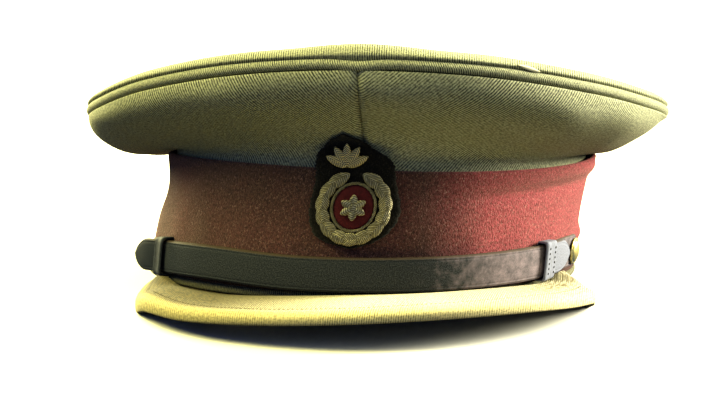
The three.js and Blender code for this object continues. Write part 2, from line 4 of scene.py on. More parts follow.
import bmesh
import bpy
import numpy as np
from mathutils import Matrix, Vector


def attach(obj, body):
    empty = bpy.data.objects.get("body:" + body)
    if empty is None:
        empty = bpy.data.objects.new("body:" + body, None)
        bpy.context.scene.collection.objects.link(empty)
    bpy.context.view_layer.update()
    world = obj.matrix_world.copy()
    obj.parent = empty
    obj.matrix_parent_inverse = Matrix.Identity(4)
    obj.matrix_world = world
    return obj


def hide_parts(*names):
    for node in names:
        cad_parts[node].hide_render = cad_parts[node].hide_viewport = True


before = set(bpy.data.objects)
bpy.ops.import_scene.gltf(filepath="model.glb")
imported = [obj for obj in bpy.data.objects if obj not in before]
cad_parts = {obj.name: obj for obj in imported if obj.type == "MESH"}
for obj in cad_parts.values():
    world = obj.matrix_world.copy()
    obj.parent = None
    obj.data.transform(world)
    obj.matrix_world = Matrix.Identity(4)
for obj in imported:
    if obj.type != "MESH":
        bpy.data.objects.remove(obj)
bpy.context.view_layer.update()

bl_info = {
    "name": "Peaked cap looks",
    "version": (1, 0, 0),
    "blender": (4, 5, 0),
    "location": "3D View > Sidebar > Cap",
    "description": "Builds the cloth, felt, leather and bullion of a peaked cap and its studio",
    "category": "Object",
}

# Sizes below are in millimetres and angles in degrees round the band from the front, positive to
# the viewer's right. They are the solids' own values, but for the peak's left corner, which
# is bulkier here.
MM = 0.001
CLOTH_MAP = "cloth"
GAP = 0.3
HEAD_WIDTH, HEAD_LENGTH = 88.0, 103.0
TILT, PRESSED = math.radians(3.0), 0.8
MIDDLE = (-3.5, 5.19)
BAND_HEIGHT, BAND_WALL, BAND_LEAN, BAND_WAVE = 48.8, 2.4, 4.5, 1.4
WELT_RADIUS, WELT_INSET = 1.6, 1.2
CROWN_WALL, CROWN_TUCK, CROWN_LIFT, FRONT_SEAM, LINING_WALL = 1.8, 5.0, 2.0, -0.9, 0.3
CORD_RADIUS = 2.0
ROLL_HEIGHT, ROLL_WIDTH, ROLL_PEAK, ROLL_SPREAD = 3.0, 4.0, 1.3, 16.0
TOP_SAG = 2.0
PEAK_REACH, PEAK_TURN, PEAK_HALF, PEAK_BOARD = 41.5, 3.0, 62.5, 3.0
PEAK_ARCH, PEAK_WING_ARCH, PEAK_FULLNESS, PEAK_CORNER = 0.8, 3.0, 2.4, 1.7
STITCH_INSET, STITCH_DEPTH = 6.5, 0.12
STRAP_HALF = 6.35
UNDER_NEAR, UNDER_FAR, UNDER_END = 1.4, 2.5, 71.2
OVER_NEAR, OVER_FAR, OVER_CROWN, OVER_LEFT, OVER_RIGHT = 2.8, 4.4, 0.3, -70.4, 61.5
TAB_START, TAB_END, TAB_STANDOFF, TAB_CURL = -59.5, -71.0, 4.3, 0.9
KEEPER_NEAR, KEEPER_BACK, KEEPER_FRONT, KEEPER_SIDE = 0.3, 0.8, 1.0, 0.8
KEEPERS = {"left": (-60.6, -56.0), "right": (48.4, 53.3)}
BUTTON_DEG, BUTTON_RADIUS, BUTTON_RIM, BUTTON_DOME, BUTTON_SHANK = 67.0, 5.3, 0.8, 1.4, 1.6
PATCH_DEG, PATCH_HEIGHT, PATCH_THICK = -1.5, 41.3, 1.4
WREATH_SIDE, WREATH_MIDDLE, WREATH_ACROSS, WREATH_UP = -1.0, -6.0, 11.3, 11.8
PALMETTE_SIDE, PALMETTE_BASE = -4.5, 9.0
VELVET_LENGTH, VELVET_WIDTH, VELVET_THICK = 16.6, 14.6, 1.6

CROWN_SECTIONS = {
    "deg": (-180, -135, -110, -90, -65, -45, -22, 0, 22, 45, 65, 90, 135),
    "over": (26, 29, 31, 31.5, 30.5, 29, 27.5, 27, 28, 29, 29.5, 29.5, 28),
    "rise": (12, 9, 8.8, 12, 18.8, 26.9, 34.2, 37.1, 35.6, 29.2, 22, 14.6, 10),
    "low_out": (9, 11, 12, 12, 8, 3, -1, -2.5, -1, 3, 6.5, 8, 11),
    "low_up": (1, -3, -7, -6.5, 3.7, 10, 15.5, 18, 15.5, 10, 4.5, -3, 0),
    "high_out": (27, 30, 27, 30.5, 32, 31, 29.5, 28.5, 30, 30.5, 27.5, 17, 28),
    "high_up": (5, 3, -5, -1, 7.8, 13, 17, 19, 16.5, 12, 9, 7, 3),
}
BAND_LEVELS = (0.0, 22.0, 36.0, 48.8)
BAND_SECTIONS = {
    "deg": (-180, -135, -90, -45, 0, 45, 90, 135),
    "foot": (0, 1.6, 4.0, 1.0, 0, 0, -2.0, -0.6),
    "waist": (0, 0.7, 1.7, 0.3, 0, 0, -2.4, -0.8),
    "crease": (0, 0, -1.6, -0.2, 0, -1.4, -1.0, 0),
    "lip": (0, 0, 0, 0.2, 0.2, 0.8, 2.5, 0.4),
}
PEAK_SECTIONS = {
    "deg": (-62, -56, -50, -42, -30, -15, 0, 15, 30, 42, 52, 58, 62, 66),
    "under": (3, -0.8, 0, 4.2, 5.6, 8, 9.9, 11, 10.4, 8.2, 5.4, 1.5, -0.8, 3),
    "edge": (8, 9.5, 8, 6.5, 5.4, 5, 5, 5, 5, 5, 5.4, 6.4, 7, 6),
    "root": (4, 2, 0, -0.3, 0.3, 1.8, 2.9, 3.2, 3.4, 3, 2.4, 4.4, 5, 4.6),
}
STRAP_SECTIONS = {
    "deg": (-72, -57, -37, -14, 17, 46, 60, 72),
    "height": (9.4, 10.8, 11.7, 10.5, 10.4, 11.4, 12.6, 12.6),
}
PATCH_OUTLINE = {
    "up": (-20.8, -18.4, -15.5, -10, -5, 3.5, 11, 14.4, 17.7, 20.4),
    "left": (-6.5, -12.4, -15.6, -17.4, -17.4, -16.2, -16.4, -15, -11.6, -8.4),
    "right": (4.5, 8.8, 12.6, 15.8, 15.8, 13.4, 11.6, 6.6, 1.8, -2.6),
}

# Studio: the whipcord copies, each with its colour factors for red, green and blue, its fuzz and the strength of the
# painted shade on the peak's left half, which also brings the peak's soil and pale edge; the peak's copy is lighter,
# partly fading and partly painted light, and the welt's copy is darker, painted shade under the strap; the light from
# below and above; lamps as direction, strength, spread in degrees and colour; and the camera's angles in degrees,
# distance, lens and aim.
TWILLS = {
    "": ((1.08, 1.14, 1.24), 0.78, 0.0),
    ", faded": ((2.0, 1.87, 2.1), 0.86, 0.95),
    ", soiled": ((0.5, 0.5, 0.5), 0.78, 0.0),
}
PAPER_BOUNCE, FLOOR_HALF = (0.05, 0.05, 0.052), 30000.0
SKY_LOW, SKY_HIGH, SKY_UP, SKY_FALL = (0.13, 0.21, 0.46), (2.8, 2.65, 1.3), (0.42, 0.05, 0.9), 3.0
LAMPS = {
    "right_key": ((1.0, 0.37, 0.36), 12.8, 24, (1.0, 0.95, 0.72)),
    "left_rim": ((-0.65, 1.0, 0.27), 7.0, 24, (1.0, 0.93, 0.5)),
    "left_top": ((-0.75, -0.18, 0.92), 5.4, 40, (1.0, 0.93, 0.36)),
}
VIEW_AZIMUTH, VIEW_ELEVATION, VIEW_DISTANCE, VIEW_LENS, VIEW_AIM = 3.266, 8.5, 800.0, 95.01, (-7.15, 5.19, 30.4)


def linear(hex_code):
    """An sRGB hex colour as linear red, green and blue."""
    parts = (int(hex_code[k:k + 2], 16) / 255 for k in (1, 3, 5))
    return tuple(p / 12.92 if p <= 0.04045 else ((p + 0.055) / 1.055) ** 2.4 for p in parts)


# Curves and places


def through(at, rows, x):
    """A cubic through rows of values at rising places: between two rows it leaves and arrives with the
    slope of the chord across each row's neighbours. A row may be a number or a whole array."""
    at = np.asarray(at, float)
    x = np.asarray(x, float)
    rows = np.asarray(rows, float)
    rows = rows.reshape(rows.shape + (1,) * (1 + x.ndim - rows.ndim)) if rows.ndim == 1 else rows
    rows = np.broadcast_to(rows, (len(at),) + x.shape)
    low = np.clip(np.arange(len(at)) - 1, 0, None)
    high = np.clip(np.arange(len(at)) + 1, None, len(at) - 1)
    run = (at[high] - at[low]).reshape((-1,) + (1,) * x.ndim)
    slopes = (rows[high] - rows[low]) / run
    k = np.clip(np.searchsorted(at, x) - 1, 0, len(at) - 2)
    width = at[k + 1] - at[k]
    t = np.clip((x - at[k]) / width, 0, 1)
    pick = lambda table, which: np.take_along_axis(table, which[None], 0)[0]
    start = pick(rows, k) * (2 * t**3 - 3 * t**2 + 1) + pick(slopes, k) * width * (t**3 - 2 * t**2 + t)
    end = pick(rows, k + 1) * (3 * t**2 - 2 * t**3) + pick(slopes, k + 1) * width * (t**3 - t**2)
    return start + end


def round_table(table, column, deg):
    """A column of a table that goes all the way round, at any angles."""
    at = np.array(table["deg"], float)
    rows = np.array(table[column], float)
    at = np.concatenate((at[-2:] - 360, at, at[:2] + 360))
    rows = np.concatenate((rows[-2:], rows, rows[:2]))
    return through(at, rows, (np.asarray(deg, float) + 180) % 360 - 180)


def near(deg, middle, half_spread):
    """A cosine hump, 1 at the middle and 0 beyond its half spread."""
    far = np.minimum(np.abs(deg - middle) / half_spread, 1)
    return (1 + np.cos(np.pi * far)) / 2


def smooth(x):
    """A step from 0 to 1 with level ends."""
    x = np.clip(x, 0, 1)
    return x * x * (3 - 2 * x)


def ripple(u, v, seed, lengths, size):
    """Slow unevenness: a sum of sine waves of the given lengths in seeded directions."""
    draw = np.random.default_rng(seed)
    total = 0.0
    for length in lengths:
        turn, phase = draw.uniform(0, 2 * np.pi, 2)
        along = u * np.cos(turn) + v * np.sin(turn)
        total = total + np.sin(2 * np.pi * along / length + phase)
    return size * total / len(lengths)


def cap_point(deg, out, height, floor=True):
    """A point a distance out from the band's plain oval at a height above its lower edge: the oval, the
    band's lean to the right, then the cap tipped back about its rear edge and kept above the table."""
    deg, out, height = np.broadcast_arrays(np.asarray(deg, float), out, height)
    turn = np.radians(deg)
    x = (HEAD_WIDTH + out) * np.sin(turn) + BAND_LEAN * np.minimum(height / BAND_HEIGHT, 1)
    back = -(HEAD_LENGTH + out) * np.cos(turn) - HEAD_LENGTH
    y = HEAD_LENGTH + back * math.cos(TILT) + height * math.sin(TILT)
    z = height * math.cos(TILT) - back * math.sin(TILT) - PRESSED
    z = np.maximum(z, 0) if floor else z
    return np.stack((x + MIDDLE[0], y + MIDDLE[1], z), -1)


def band_out(deg, height):
    """How far the felt stands out from its plain oval: a cubic up the wall through four levels, each a
    cubic round the cap."""
    deg, height = np.broadcast_arrays(np.asarray(deg, float), np.asarray(height, float))
    rows = np.stack([round_table(BAND_SECTIONS, level, deg) for level in ("foot", "waist", "crease", "lip")])
    return through(BAND_LEVELS, rows, height)


def band_top(deg):
    """The band's top edge, one gentle wave on each half of the cap."""
    return BAND_HEIGHT - BAND_WAVE * np.sin(np.radians(2 * np.asarray(deg, float)))


def crown_curve(deg):
    """The four handles of the crown's side at an angle, each as a distance out and up from the band's
    top edge: seat, low, high and rim."""
    felt = np.minimum(band_out(deg, band_top(deg)), band_out(deg, band_top(deg) - CROWN_TUCK))
    value = lambda column: round_table(CROWN_SECTIONS, column, deg)
    seat = (felt - BAND_WALL - 1.5 * GAP, np.full_like(felt, CROWN_LIFT))
    low = (value("low_out"), value("low_up"))
    high = (value("high_out"), value("high_up"))
    rim = (value("over"), value("rise"))
    return seat, low, high, rim


def crown_side(deg, t):
    """The crown's side: a cubic curve from the seat to the rim, by its four handles."""
    weights = ((1 - t)**3, 3 * t * (1 - t)**2, 3 * t**2 * (1 - t), t**3)
    handles = crown_curve(deg)
    out = sum(w * handle[0] for w, handle in zip(weights, handles))
    up = sum(w * handle[1] for w, handle in zip(weights, handles))
    return out, up


def crown_point(deg, out, up):
    """A point of the crown, out and up from the band's top edge."""
    return cap_point(deg, out, band_top(deg) + up)


def circle(count):
    """Angles spaced evenly round a full turn."""
    return np.linspace(0, 2 * np.pi, count, endpoint=False)


def joined(grid, *axes):
    """A grid with its first row or column repeated at its end, so that it closes."""
    for axis in axes:
        grid = np.concatenate((grid, np.take(grid, [0], axis)), axis)
    return grid


def unit(vectors):
    """Vectors brought to a length of one."""
    return vectors / np.maximum(np.linalg.norm(vectors, axis=-1, keepdims=True), 1e-9)


def normals(points):
    """Unit normals of a grid: the cross product of its two directions."""
    return unit(np.cross(np.gradient(points, axis=-3), np.gradient(points, axis=-2)))


def arc_length(points, axis):
    """Distance travelled along one direction of a grid."""
    steps = np.linalg.norm(np.diff(points, axis=axis), axis=-1)
    start = np.zeros_like(np.take(steps, [0], axis=axis))
    return np.concatenate((start, np.cumsum(steps, axis=axis)), axis=axis)


def turned(u, v, degrees):
    """Places on the cloth turned by an angle, so that the ribs, which run along v, slant on the piece."""
    c, s = math.cos(math.radians(degrees)), math.sin(math.radians(degrees))
    return np.stack((u * c - v * s, u * s + v * c), -1)


# Meshes


def surface(name, points, cloth=None, wrap=(False, False), closed=True):
    """A mesh object from one grid of points, or a stack of grids. Neighbouring points share a
    four-cornered face, wrap joins the last row or column to the first, and cloth gives each point's place
    on the flat cloth, with one more row or column where the grid wraps."""
    points = points.reshape((-1,) + points.shape[-3:])
    count, rows, columns = points.shape[:3]
    i, j = np.meshgrid(np.arange(rows - (not wrap[0])), np.arange(columns - (not wrap[1])), indexing="ij")
    corners = ((i, j), (i + 1, j), (i + 1, j + 1), (i, j + 1))
    quads = np.stack([(a % rows) * columns + b % columns for a, b in corners], -1).reshape(-1, 4)
    quads = (quads + np.arange(count)[:, None, None] * rows * columns).reshape(-1, 4)
    mesh = bpy.data.meshes.new(name)
    mesh.from_pydata((points.reshape(-1, 3) * MM).tolist(), [], quads.tolist())
    if cloth is not None:
        cloth = cloth.reshape((-1,) + cloth.shape[-3:])
        places = np.stack([cloth[:, a, b] for a, b in corners], -2)
        layer = mesh.uv_layers.new(name=CLOTH_MAP)
        layer.uv.foreach_set("vector", places.astype(np.float32).ravel())
    work = bmesh.new()
    work.from_mesh(mesh)
    bmesh.ops.remove_doubles(work, verts=work.verts, dist=1e-6)
    bmesh.ops.dissolve_degenerate(work, edges=work.edges, dist=1e-7)
    if closed:
        bmesh.ops.recalc_face_normals(work, faces=work.faces)
    work.to_mesh(mesh)
    work.free()
    mesh.polygons.foreach_set("use_smooth", np.ones(len(mesh.polygons), bool))
    piece = bpy.data.objects.new(name, mesh)
    bpy.context.scene.collection.objects.link(piece)
    return piece


def dress(piece, material, nodes=()):
    """Gives a piece its material, rides it on the cap and hides the solids that it stands for."""
    piece.data.materials.append(material)
    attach(piece, "root")
    if nodes:
        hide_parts(*nodes)
    return piece


def wall(piece, thickness):
    """Gives an open sheet its thickness, inwards from the face that shows."""
    solid = piece.modifiers.new("wall", "SOLIDIFY")
    solid.thickness = thickness * MM
    solid.offset = -1
    solid.use_even_offset = True


def ovals(centres, ahead, side, up, half, rings=6, sides=8):
    """Small closed beads such as stitches: ellipsoids with three half sizes along three directions each."""
    polar = np.linspace(0, np.pi, rings)
    turn = circle(sides)
    a = np.cos(polar)[:, None] * np.ones(sides)
    b = np.sin(polar)[:, None] * np.cos(turn)
    c = np.sin(polar)[:, None] * np.sin(turn)
    shape = lambda values, axis: values[None, :, :, None] * axis[:, None, None]
    return centres[:, None, None] + shape(a * half[0], ahead) + shape(b * half[1], side) + shape(c * half[2], up)


# Materials


def add(tree, kind, settings=None, links=None):
    """Adds a shader node with its settings, each a property or a socket, and links its inputs to other sockets."""
    node = tree.nodes.new("ShaderNode" + kind)
    for key, value in (settings or {}).items():
        if key in node.bl_rna.properties.keys():
            setattr(node, key, value)
        else:
            node.inputs[key].default_value = value
    for key, socket in (links or {}).items():
        tree.links.new(socket, node.inputs[key])
    return node


def fresh(name):
    """A new material and its empty node tree."""
    material = bpy.data.materials.new(name)
    material.use_nodes = True
    material.node_tree.nodes.clear()
    return material, material.node_tree


def on_cloth(tree):
    """Places on the flat cloth, in millimetres."""
    return add(tree, "UVMap", {"uv_map": CLOTH_MAP}).outputs["UV"]


def on_piece(tree):
    """Places on the piece itself, in metres."""
    return add(tree, "TexCoord").outputs["Object"]


def split(tree, place):
    """The parts X, Y and Z of a place."""
    return add(tree, "SeparateXYZ", {}, {"Vector": place}).outputs


def noise(tree, place, size, detail, **settings):
    """Cloudy values with lumps of a size, in the place's own unit."""
    settings = {"Scale": 1 / size, "Detail": detail, **settings}
    return add(tree, "TexNoise", settings, {"Vector": place}).outputs["Fac"]


def wave_rows(tree, place, spacing, settings):
    """Values that rise and fall in rows a set distance apart. The texture's own rows lie a tenth of pi apart."""
    settings = {"wave_type": "BANDS", "bands_direction": "X", "wave_profile": "SIN",
                "Scale": math.pi / 10 / spacing, **settings}
    return add(tree, "TexWave", settings, {"Vector": place}).outputs["Fac"]


def remap(tree, value, start, end, low=0.0, high=1.0):
    """A value between start and end stretched onto low to high, and held there beyond."""
    settings = {"From Min": start, "From Max": end, "To Min": low, "To Max": high}
    return add(tree, "MapRange", settings, {"Value": value}).outputs["Result"]


def joint(tree, operation, first, second, clamp=False):
    """Two values joined by an operation."""
    settings = {"operation": operation, "use_clamp": clamp}
    return add(tree, "Math", settings, {0: first, 1: second}).outputs["Value"]


def blend(tree, share, first, second):
    """A share of the way from one colour to another, each fixed or from a socket."""
    settings, links = {"data_type": "RGBA"}, {0: share}
    for key, colour in ((6, first), (7, second)):
        if isinstance(colour, bpy.types.NodeSocket):
            links[key] = colour
        else:
            settings[key] = (*colour, 1.0)
    return add(tree, "Mix", settings, links).outputs[2]


def darker(colour, share):
    """A share of a colour."""
    return tuple(share * part for part in colour)


def finished(material, settings, colour, relief=None, roughness=None):
    """Ends a material with its shader: fixed settings, a colour, a relief given as height, strength and depth, and
    a roughness that varies."""
    tree = material.node_tree
    links = {"Base Color": colour}
    if relief:
        height, strength, depth = relief
        bump = add(tree, "Bump", {"Strength": strength, "Distance": depth}, {"Height": height})
        links["Normal"] = bump.outputs["Normal"]
    if roughness is not None:
        links["Roughness"] = roughness
    shader = add(tree, "BsdfPrincipled", settings, links)
    add(tree, "OutputMaterial", {}, {"Surface": shader.outputs["BSDF"]})
    return material


def peak_soil_shade_and_highlight(tree, place, colours, cloth, tone, fleck, amount):
    """The peak's cloth, marked: painted shade, speckled, on its left half; speckled brown soil in its right corner
    near the root; and a pale edge along the crest of its roll, partly rubbed wear and partly painted highlight."""
    side, depth = split(tree, on_piece(tree))["X"], split(tree, place)["Y"]
    specks = remap(tree, fleck, 0.4, 0.6)
    # Painted shade over the peak's left half, stronger towards its root and speckled.
    left = joint(tree, "MULTIPLY", remap(tree, side, 0.0, -0.055, 0.0, amount), remap(tree, depth, 1.0, -9.0, 0.8))
    speckled_painted_shade = blend(tree, specks, colours.khaki_soil_and_shade, darker(colours.khaki_soil_and_shade, 0.15))
    left_painted_shade = blend(tree, left, cloth, speckled_painted_shade)
    # Speckled brown soil in the peak's right corner near its root.
    right = joint(tree, "MULTIPLY", remap(tree, side, 0.052, 0.074), remap(tree, depth, -3.0, -9.0))
    marked_with_shade_and_soil = blend(tree, joint(tree, "MULTIPLY", right, specks), left_painted_shade, colours.khaki_soil_and_shade)
    # A pale edge along the crest of the roll: partly rubbed wear, partly painted highlight.
    outer, patchy = remap(tree, depth, -1.0, 2.5, 0.0, 0.7), remap(tree, tone, 0.0, 1.0, 0.4)
    return blend(tree, joint(tree, "MULTIPLY", outer, patchy), marked_with_shade_and_soil, colours.khaki_edge_wear_and_highlight)


def twill_material(name, sizes, colours, fade, fuzz, painted_shade):
    """Woollen whipcord, woven with steep raised ribs and worn: matt, with a soft edge sheen, broken ribs that
    catch the light in rows, mixed brown and green flecks of yarn and a dusty unevenness."""
    material, tree = fresh(name)
    # Each copy scales the colours: the peak's lighter copy is partly fading and partly painted light, and the welt's
    # darker copy is painted shade under the strap.
    faded = lambda colour: tuple(min(f * part, 1.0) for f, part in zip(fade, colour))
    place = on_cloth(tree)
    ribs = wave_rows(tree, place, sizes.rib_spacing / MM,
                     {"Distortion": 1.6, "Detail": 3.0, "Detail Scale": 1.6, "Detail Roughness": 0.6})
    fibre = noise(tree, place, 0.95, 4.0, Roughness=0.75)
    fleck = noise(tree, place, 1.7, 4.0, Roughness=0.75)
    dust = noise(tree, place, 22.0, 4.0, Roughness=0.65)
    share = remap(tree, dust, 0.35, 0.65, fuzz - 0.15, fuzz + 0.1)
    height = add(tree, "Mix", {"data_type": "FLOAT"}, {0: share, "A": ribs, "B": fibre}).outputs["Result"]
    tone = remap(tree, height, 0.39, 0.63)
    threads = blend(tree, tone, faded(colours.khaki_groove), faded(colours.khaki_rib))
    mixed = blend(tree, remap(tree, fleck, 0.5, 0.72, 0.0, 0.55), threads, faded(colours.khaki_fleck))
    cloth = blend(tree, remap(tree, dust, 0.42, 0.72, 0.0, 0.4), mixed, faded(colours.khaki_worn))
    if painted_shade:
        cloth = peak_soil_shade_and_highlight(tree, place, colours, cloth, tone, fleck, painted_shade)
    settings = {"Roughness": 0.92, "Specular IOR Level": 0.15, "Sheen Weight": 0.12, "Sheen Roughness": 0.5,
                "Sheen Tint": (0.9, 0.86, 0.55, 1.0)}
    return finished(material, settings, cloth, (height, 1.15 - 0.9 * fuzz, 0.0005))


def felt_material(sizes, colours):
    """Milled woollen felt with a raised nap: matt and fuzzy, with pale fibre ends, dark hollows, random brown stains,
    a brown darkening over the front left, partly wear and partly painted shade, and painted shade along its foot."""
    material, tree = fresh("milled wool felt, red")
    place = on_cloth(tree)
    stretch = add(tree, "Mapping", {"Scale": (1.0, 0.6, 1.0)}, {"Vector": place}).outputs["Vector"]
    nap = noise(tree, stretch, sizes.felt_nap / MM, 3.0, Roughness=0.7)
    tufts = noise(tree, place, 1.8, 4.0, Roughness=0.7)
    hairs = noise(tree, stretch, 0.5, 2.0, Distortion=1.5)
    stains = noise(tree, place, 28.0, 3.0)
    where = split(tree, on_piece(tree))
    # Painted shade, partly wear: the front left of the felt, out to just right of the badge, darkened away from the
    # key light.
    left, front = remap(tree, where["X"], 0.046, 0.022, 0.0, 0.9), remap(tree, where["Y"], 0.07, -0.03)
    worn = add(tree, "Math", {"operation": "MULTIPLY_ADD", 1: 0.5, 2: -0.22}, {0: stains}).outputs["Value"]
    brown = joint(tree, "ADD", joint(tree, "MULTIPLY", left, front), worn, clamp=True)
    both = add(tree, "Mix", {"data_type": "FLOAT", "Factor": 0.3}, {"A": nap, "B": tufts}).outputs["Result"]
    tone = remap(tree, both, 0.36, 0.64)
    fibres = blend(tree, tone, colours.felt_deep, colours.felt_fibre)
    wear = blend(tree, tone, colours.felt_soil_and_shade, colours.felt_brown_wear_and_shade)
    browned = blend(tree, brown, fibres, wear)
    haired = blend(tree, remap(tree, hairs, 0.57, 0.74, 0.0, 0.42), browned, colours.felt_hair)
    # Painted shade along the felt's foot, under the strap and above the welt.
    foot = remap(tree, split(tree, place)["Y"], 5.0, 2.0, 0.0, 0.9)
    cloth = blend(tree, foot, haired, colours.felt_soil_and_shade)
    settings = {"Roughness": 0.95, "Specular IOR Level": 0.1, "Sheen Weight": 0.2, "Sheen Roughness": 0.6,
                "Sheen Tint": (1.0, 0.7, 0.6, 1.0)}
    return finished(material, settings, cloth, (both, 1.0, 0.0009))


def patch_material(colours):
    """Milled felt, nearly black and napped: swallows light, with dusty grey fibre ends."""
    material, tree = fresh("milled wool felt, near black")
    nap = noise(tree, on_piece(tree), 0.0006, 5.0, Roughness=0.75)
    cloth = blend(tree, remap(tree, nap, 0.5, 0.85), colours.patch_felt, colours.patch_dust)
    settings = {"Roughness": 0.95, "Specular IOR Level": 0.1, "Sheen Weight": 0.12}
    return finished(material, settings, cloth, (nap, 0.8, 0.0005))


def velvet_material(colours):
    """Cut silk velvet: a deep red pile that goes dark head on and glows at a grazing angle."""
    material, tree = fresh("cut velvet pile")
    pile = noise(tree, on_piece(tree), 0.0008, 3.0)
    cloth = blend(tree, pile, colours.velvet_deep, colours.velvet_lit)
    settings = {"Roughness": 0.85, "Specular IOR Level": 0.2, "Sheen Weight": 0.4, "Sheen Roughness": 0.35,
                "Sheen Tint": (1.0, 0.35, 0.35, 1.0)}
    return finished(material, settings, cloth, (pile, 0.5, 0.0004))


def bullion_material(sizes, colours):
    """Coiled gilt wire, couched in rows and tarnished: bright wire backs with brown between the coils, and painted
    light towards the top, where the wire is drawn less tarnished and its backs brighter."""
    material, tree = fresh("coiled gilt bullion wire")
    place = on_cloth(tree)
    coil = wave_rows(tree, place, sizes.bullion_wire / MM, {"Distortion": 0.4})
    spots = remap(tree, noise(tree, place, 1.6, 4.0), 0.42, 0.68)
    wire = blend(tree, coil, colours.bullion_deep, colours.bullion)
    # Painted light: towards the top of the badge the wire is drawn less tarnished and its backs brighter.
    top = remap(tree, split(tree, on_piece(tree))["Z"], 0.057, 0.064)
    dull = joint(tree, "SUBTRACT", spots, top, clamp=True)
    tarnished = blend(tree, dull, wire, colours.bullion_tarnish)
    metal = blend(tree, joint(tree, "MULTIPLY", top, coil), tarnished, colours.bullion_painted_light)
    return finished(material, {"Metallic": 0.4, "Roughness": 0.5}, metal, (coil, 0.7, 0.0003))


def leather_material(colours):
    """Vegetable-tanned strap leather, dyed, waxed and worn: nearly black and half matt, with a fine grain, rust brown
    where the dye has rubbed away, a tan line along its upper edge that is the raw edge with painted highlight on it,
    and grey at its right end that is partly a bloom on the wax and partly painted sheen."""
    material, tree = fresh("waxed strap leather")
    place = on_cloth(tree)
    grain = noise(tree, place, 0.45, 4.0, Roughness=0.6)
    rubbed = noise(tree, place, 4.0, 5.0, Roughness=0.7)
    where = split(tree, place)
    along, across = where["X"], where["Y"]
    bare = remap(tree, joint(tree, "ADD", rubbed, remap(tree, along, 8.0, 62.0, -0.5, 0.05)), 0.26, 0.78, 0.0, 0.95)
    dyed = blend(tree, bare, colours.leather, colours.leather_worn)
    # Grey at the right end: partly a bloom on the wax, partly painted sheen.
    grey = blend(tree, remap(tree, along, 90.0, 94.0, 0.0, 0.9), dyed, colours.leather_bloom_and_sheen)
    fine, settled = remap(tree, grain, 0.42, 0.66, 0.0, 0.5), remap(tree, along, -112.0, -98.0, 0.1, 1.2)
    hide = blend(tree, joint(tree, "MULTIPLY", fine, settled), grey, colours.leather_dust)
    # A tan line along the upper edge only: the raw edge, with painted highlight where it faces the light.
    edged = blend(tree, remap(tree, across, 5.6, 6.1, 0.0, 0.8), hide, colours.leather_edge_and_highlight)
    gloss = remap(tree, bare, 0.0, 1.0, 0.68, 0.76)
    return finished(material, {"Specular IOR Level": 0.08}, edged, (grain, 0.35, 0.0003), gloss)


def gilt_material(colours):
    """Gilded brass, stamped and rubbed: warm bright metal with dull brown in its hollows."""
    material, tree = fresh("gilded brass")
    spots = remap(tree, noise(tree, on_piece(tree), 0.002, 4.0), 0.4, 0.7)
    metal = blend(tree, spots, colours.gilt, colours.gilt_dull)
    return finished(material, {"Metallic": 1.0}, metal, roughness=remap(tree, spots, 0.0, 1.0, 0.38, 0.6))


def thread_material(name, colour):
    """Waxed cotton thread, plied: matt, with a fine twist."""
    material, tree = fresh(name)
    tone = blend(tree, noise(tree, on_piece(tree), 0.0004, 2.0), darker(colour, 0.6), colour)
    return finished(material, {"Roughness": 0.8, "Specular IOR Level": 0.3}, tone)


def paper_material(colours):
    """Matt white paper, rolled out: even and pale, with no gloss. It throws back little light on the cap, as the
    studio's strong lamps would otherwise fill every shade."""
    material, tree = fresh("matt white paper")
    tone = blend(tree, noise(tree, on_piece(tree), 0.004, 2.0), darker(colours.paper, 0.97), colours.paper)
    seen = blend(tree, add(tree, "LightPath").outputs["Is Diffuse Ray"], tone, PAPER_BOUNCE)
    return finished(material, {"Roughness": 1.0, "Specular IOR Level": 0.0}, seen)


def made(name, build, *details):
    """A material by name, built the first time that it is asked for."""
    return bpy.data.materials.get(name) or build(*details)


# Pieces of the cap


def rim_line(deg):
    """Place of the rim's cord: its distance out, and the height of its middle above the band's top edge, with
    a dip at the front seam."""
    rim = crown_curve(deg)[3]
    dip = 0.8 * near(deg, FRONT_SEAM, 6)
    return rim[0], rim[1] + GAP + CORD_RADIUS - dip


def top_panel():
    """The top panel: from the rim's cord it rolls up and over, then runs in to the middle with a slight sag.
    A cubic through the roll's points and the panel's rings, at each angle."""
    deg = np.linspace(-180, 180, 360, endpoint=False)
    out, up = rim_line(deg)
    base = crown_curve(deg)[3][1] + 2 * GAP + 2 * CORD_RADIUS
    roll = ROLL_HEIGHT + ROLL_PEAK * near(deg, 0, ROLL_SPREAD)
    edge = crown_point(deg, out - ROLL_WIDTH, base + roll + GAP)
    middle = edge.mean(0)
    rings = [crown_point(deg, out + 0.4, up + 0.9 * CORD_RADIUS),
             crown_point(deg, out + 1.5, base + 0.12 * roll),
             crown_point(deg, out + 1.2, base + 0.45 * roll),
             crown_point(deg, out - 0.5, base + 0.86 * roll),
             crown_point(deg, out - 0.6 * ROLL_WIDTH, base + roll + 0.2), edge]
    for part in (0.92, 0.8, 0.6, 0.4, 0.2, 0.0):
        ring = middle + part * (edge - middle)
        ring[:, 2] -= TOP_SAG * (1 - part**2)
        rings.append(ring)
    rings = np.stack(rings)
    station = np.concatenate((np.linspace(0, 5, 26), np.linspace(5, 11, 40)[1:]))
    grid = np.stack([through(np.arange(12), rings[:, :, axis][:, :, None],
                             np.broadcast_to(station, (len(deg), len(station)))) for axis in range(3)], -1)
    inner = smooth((station - 5) / 2)
    grid[..., 2] += inner * ripple(grid[..., 0], grid[..., 1], 3, (70, 95, 120, 55), 0.5)
    wrapped = joined(grid, 0)
    roll_length = arc_length(wrapped, 1)[:, 25][:, None] - arc_length(wrapped, 1)
    return grid, np.stack((wrapped[..., 0], wrapped[..., 1] - np.maximum(roll_length, 0)), -1)


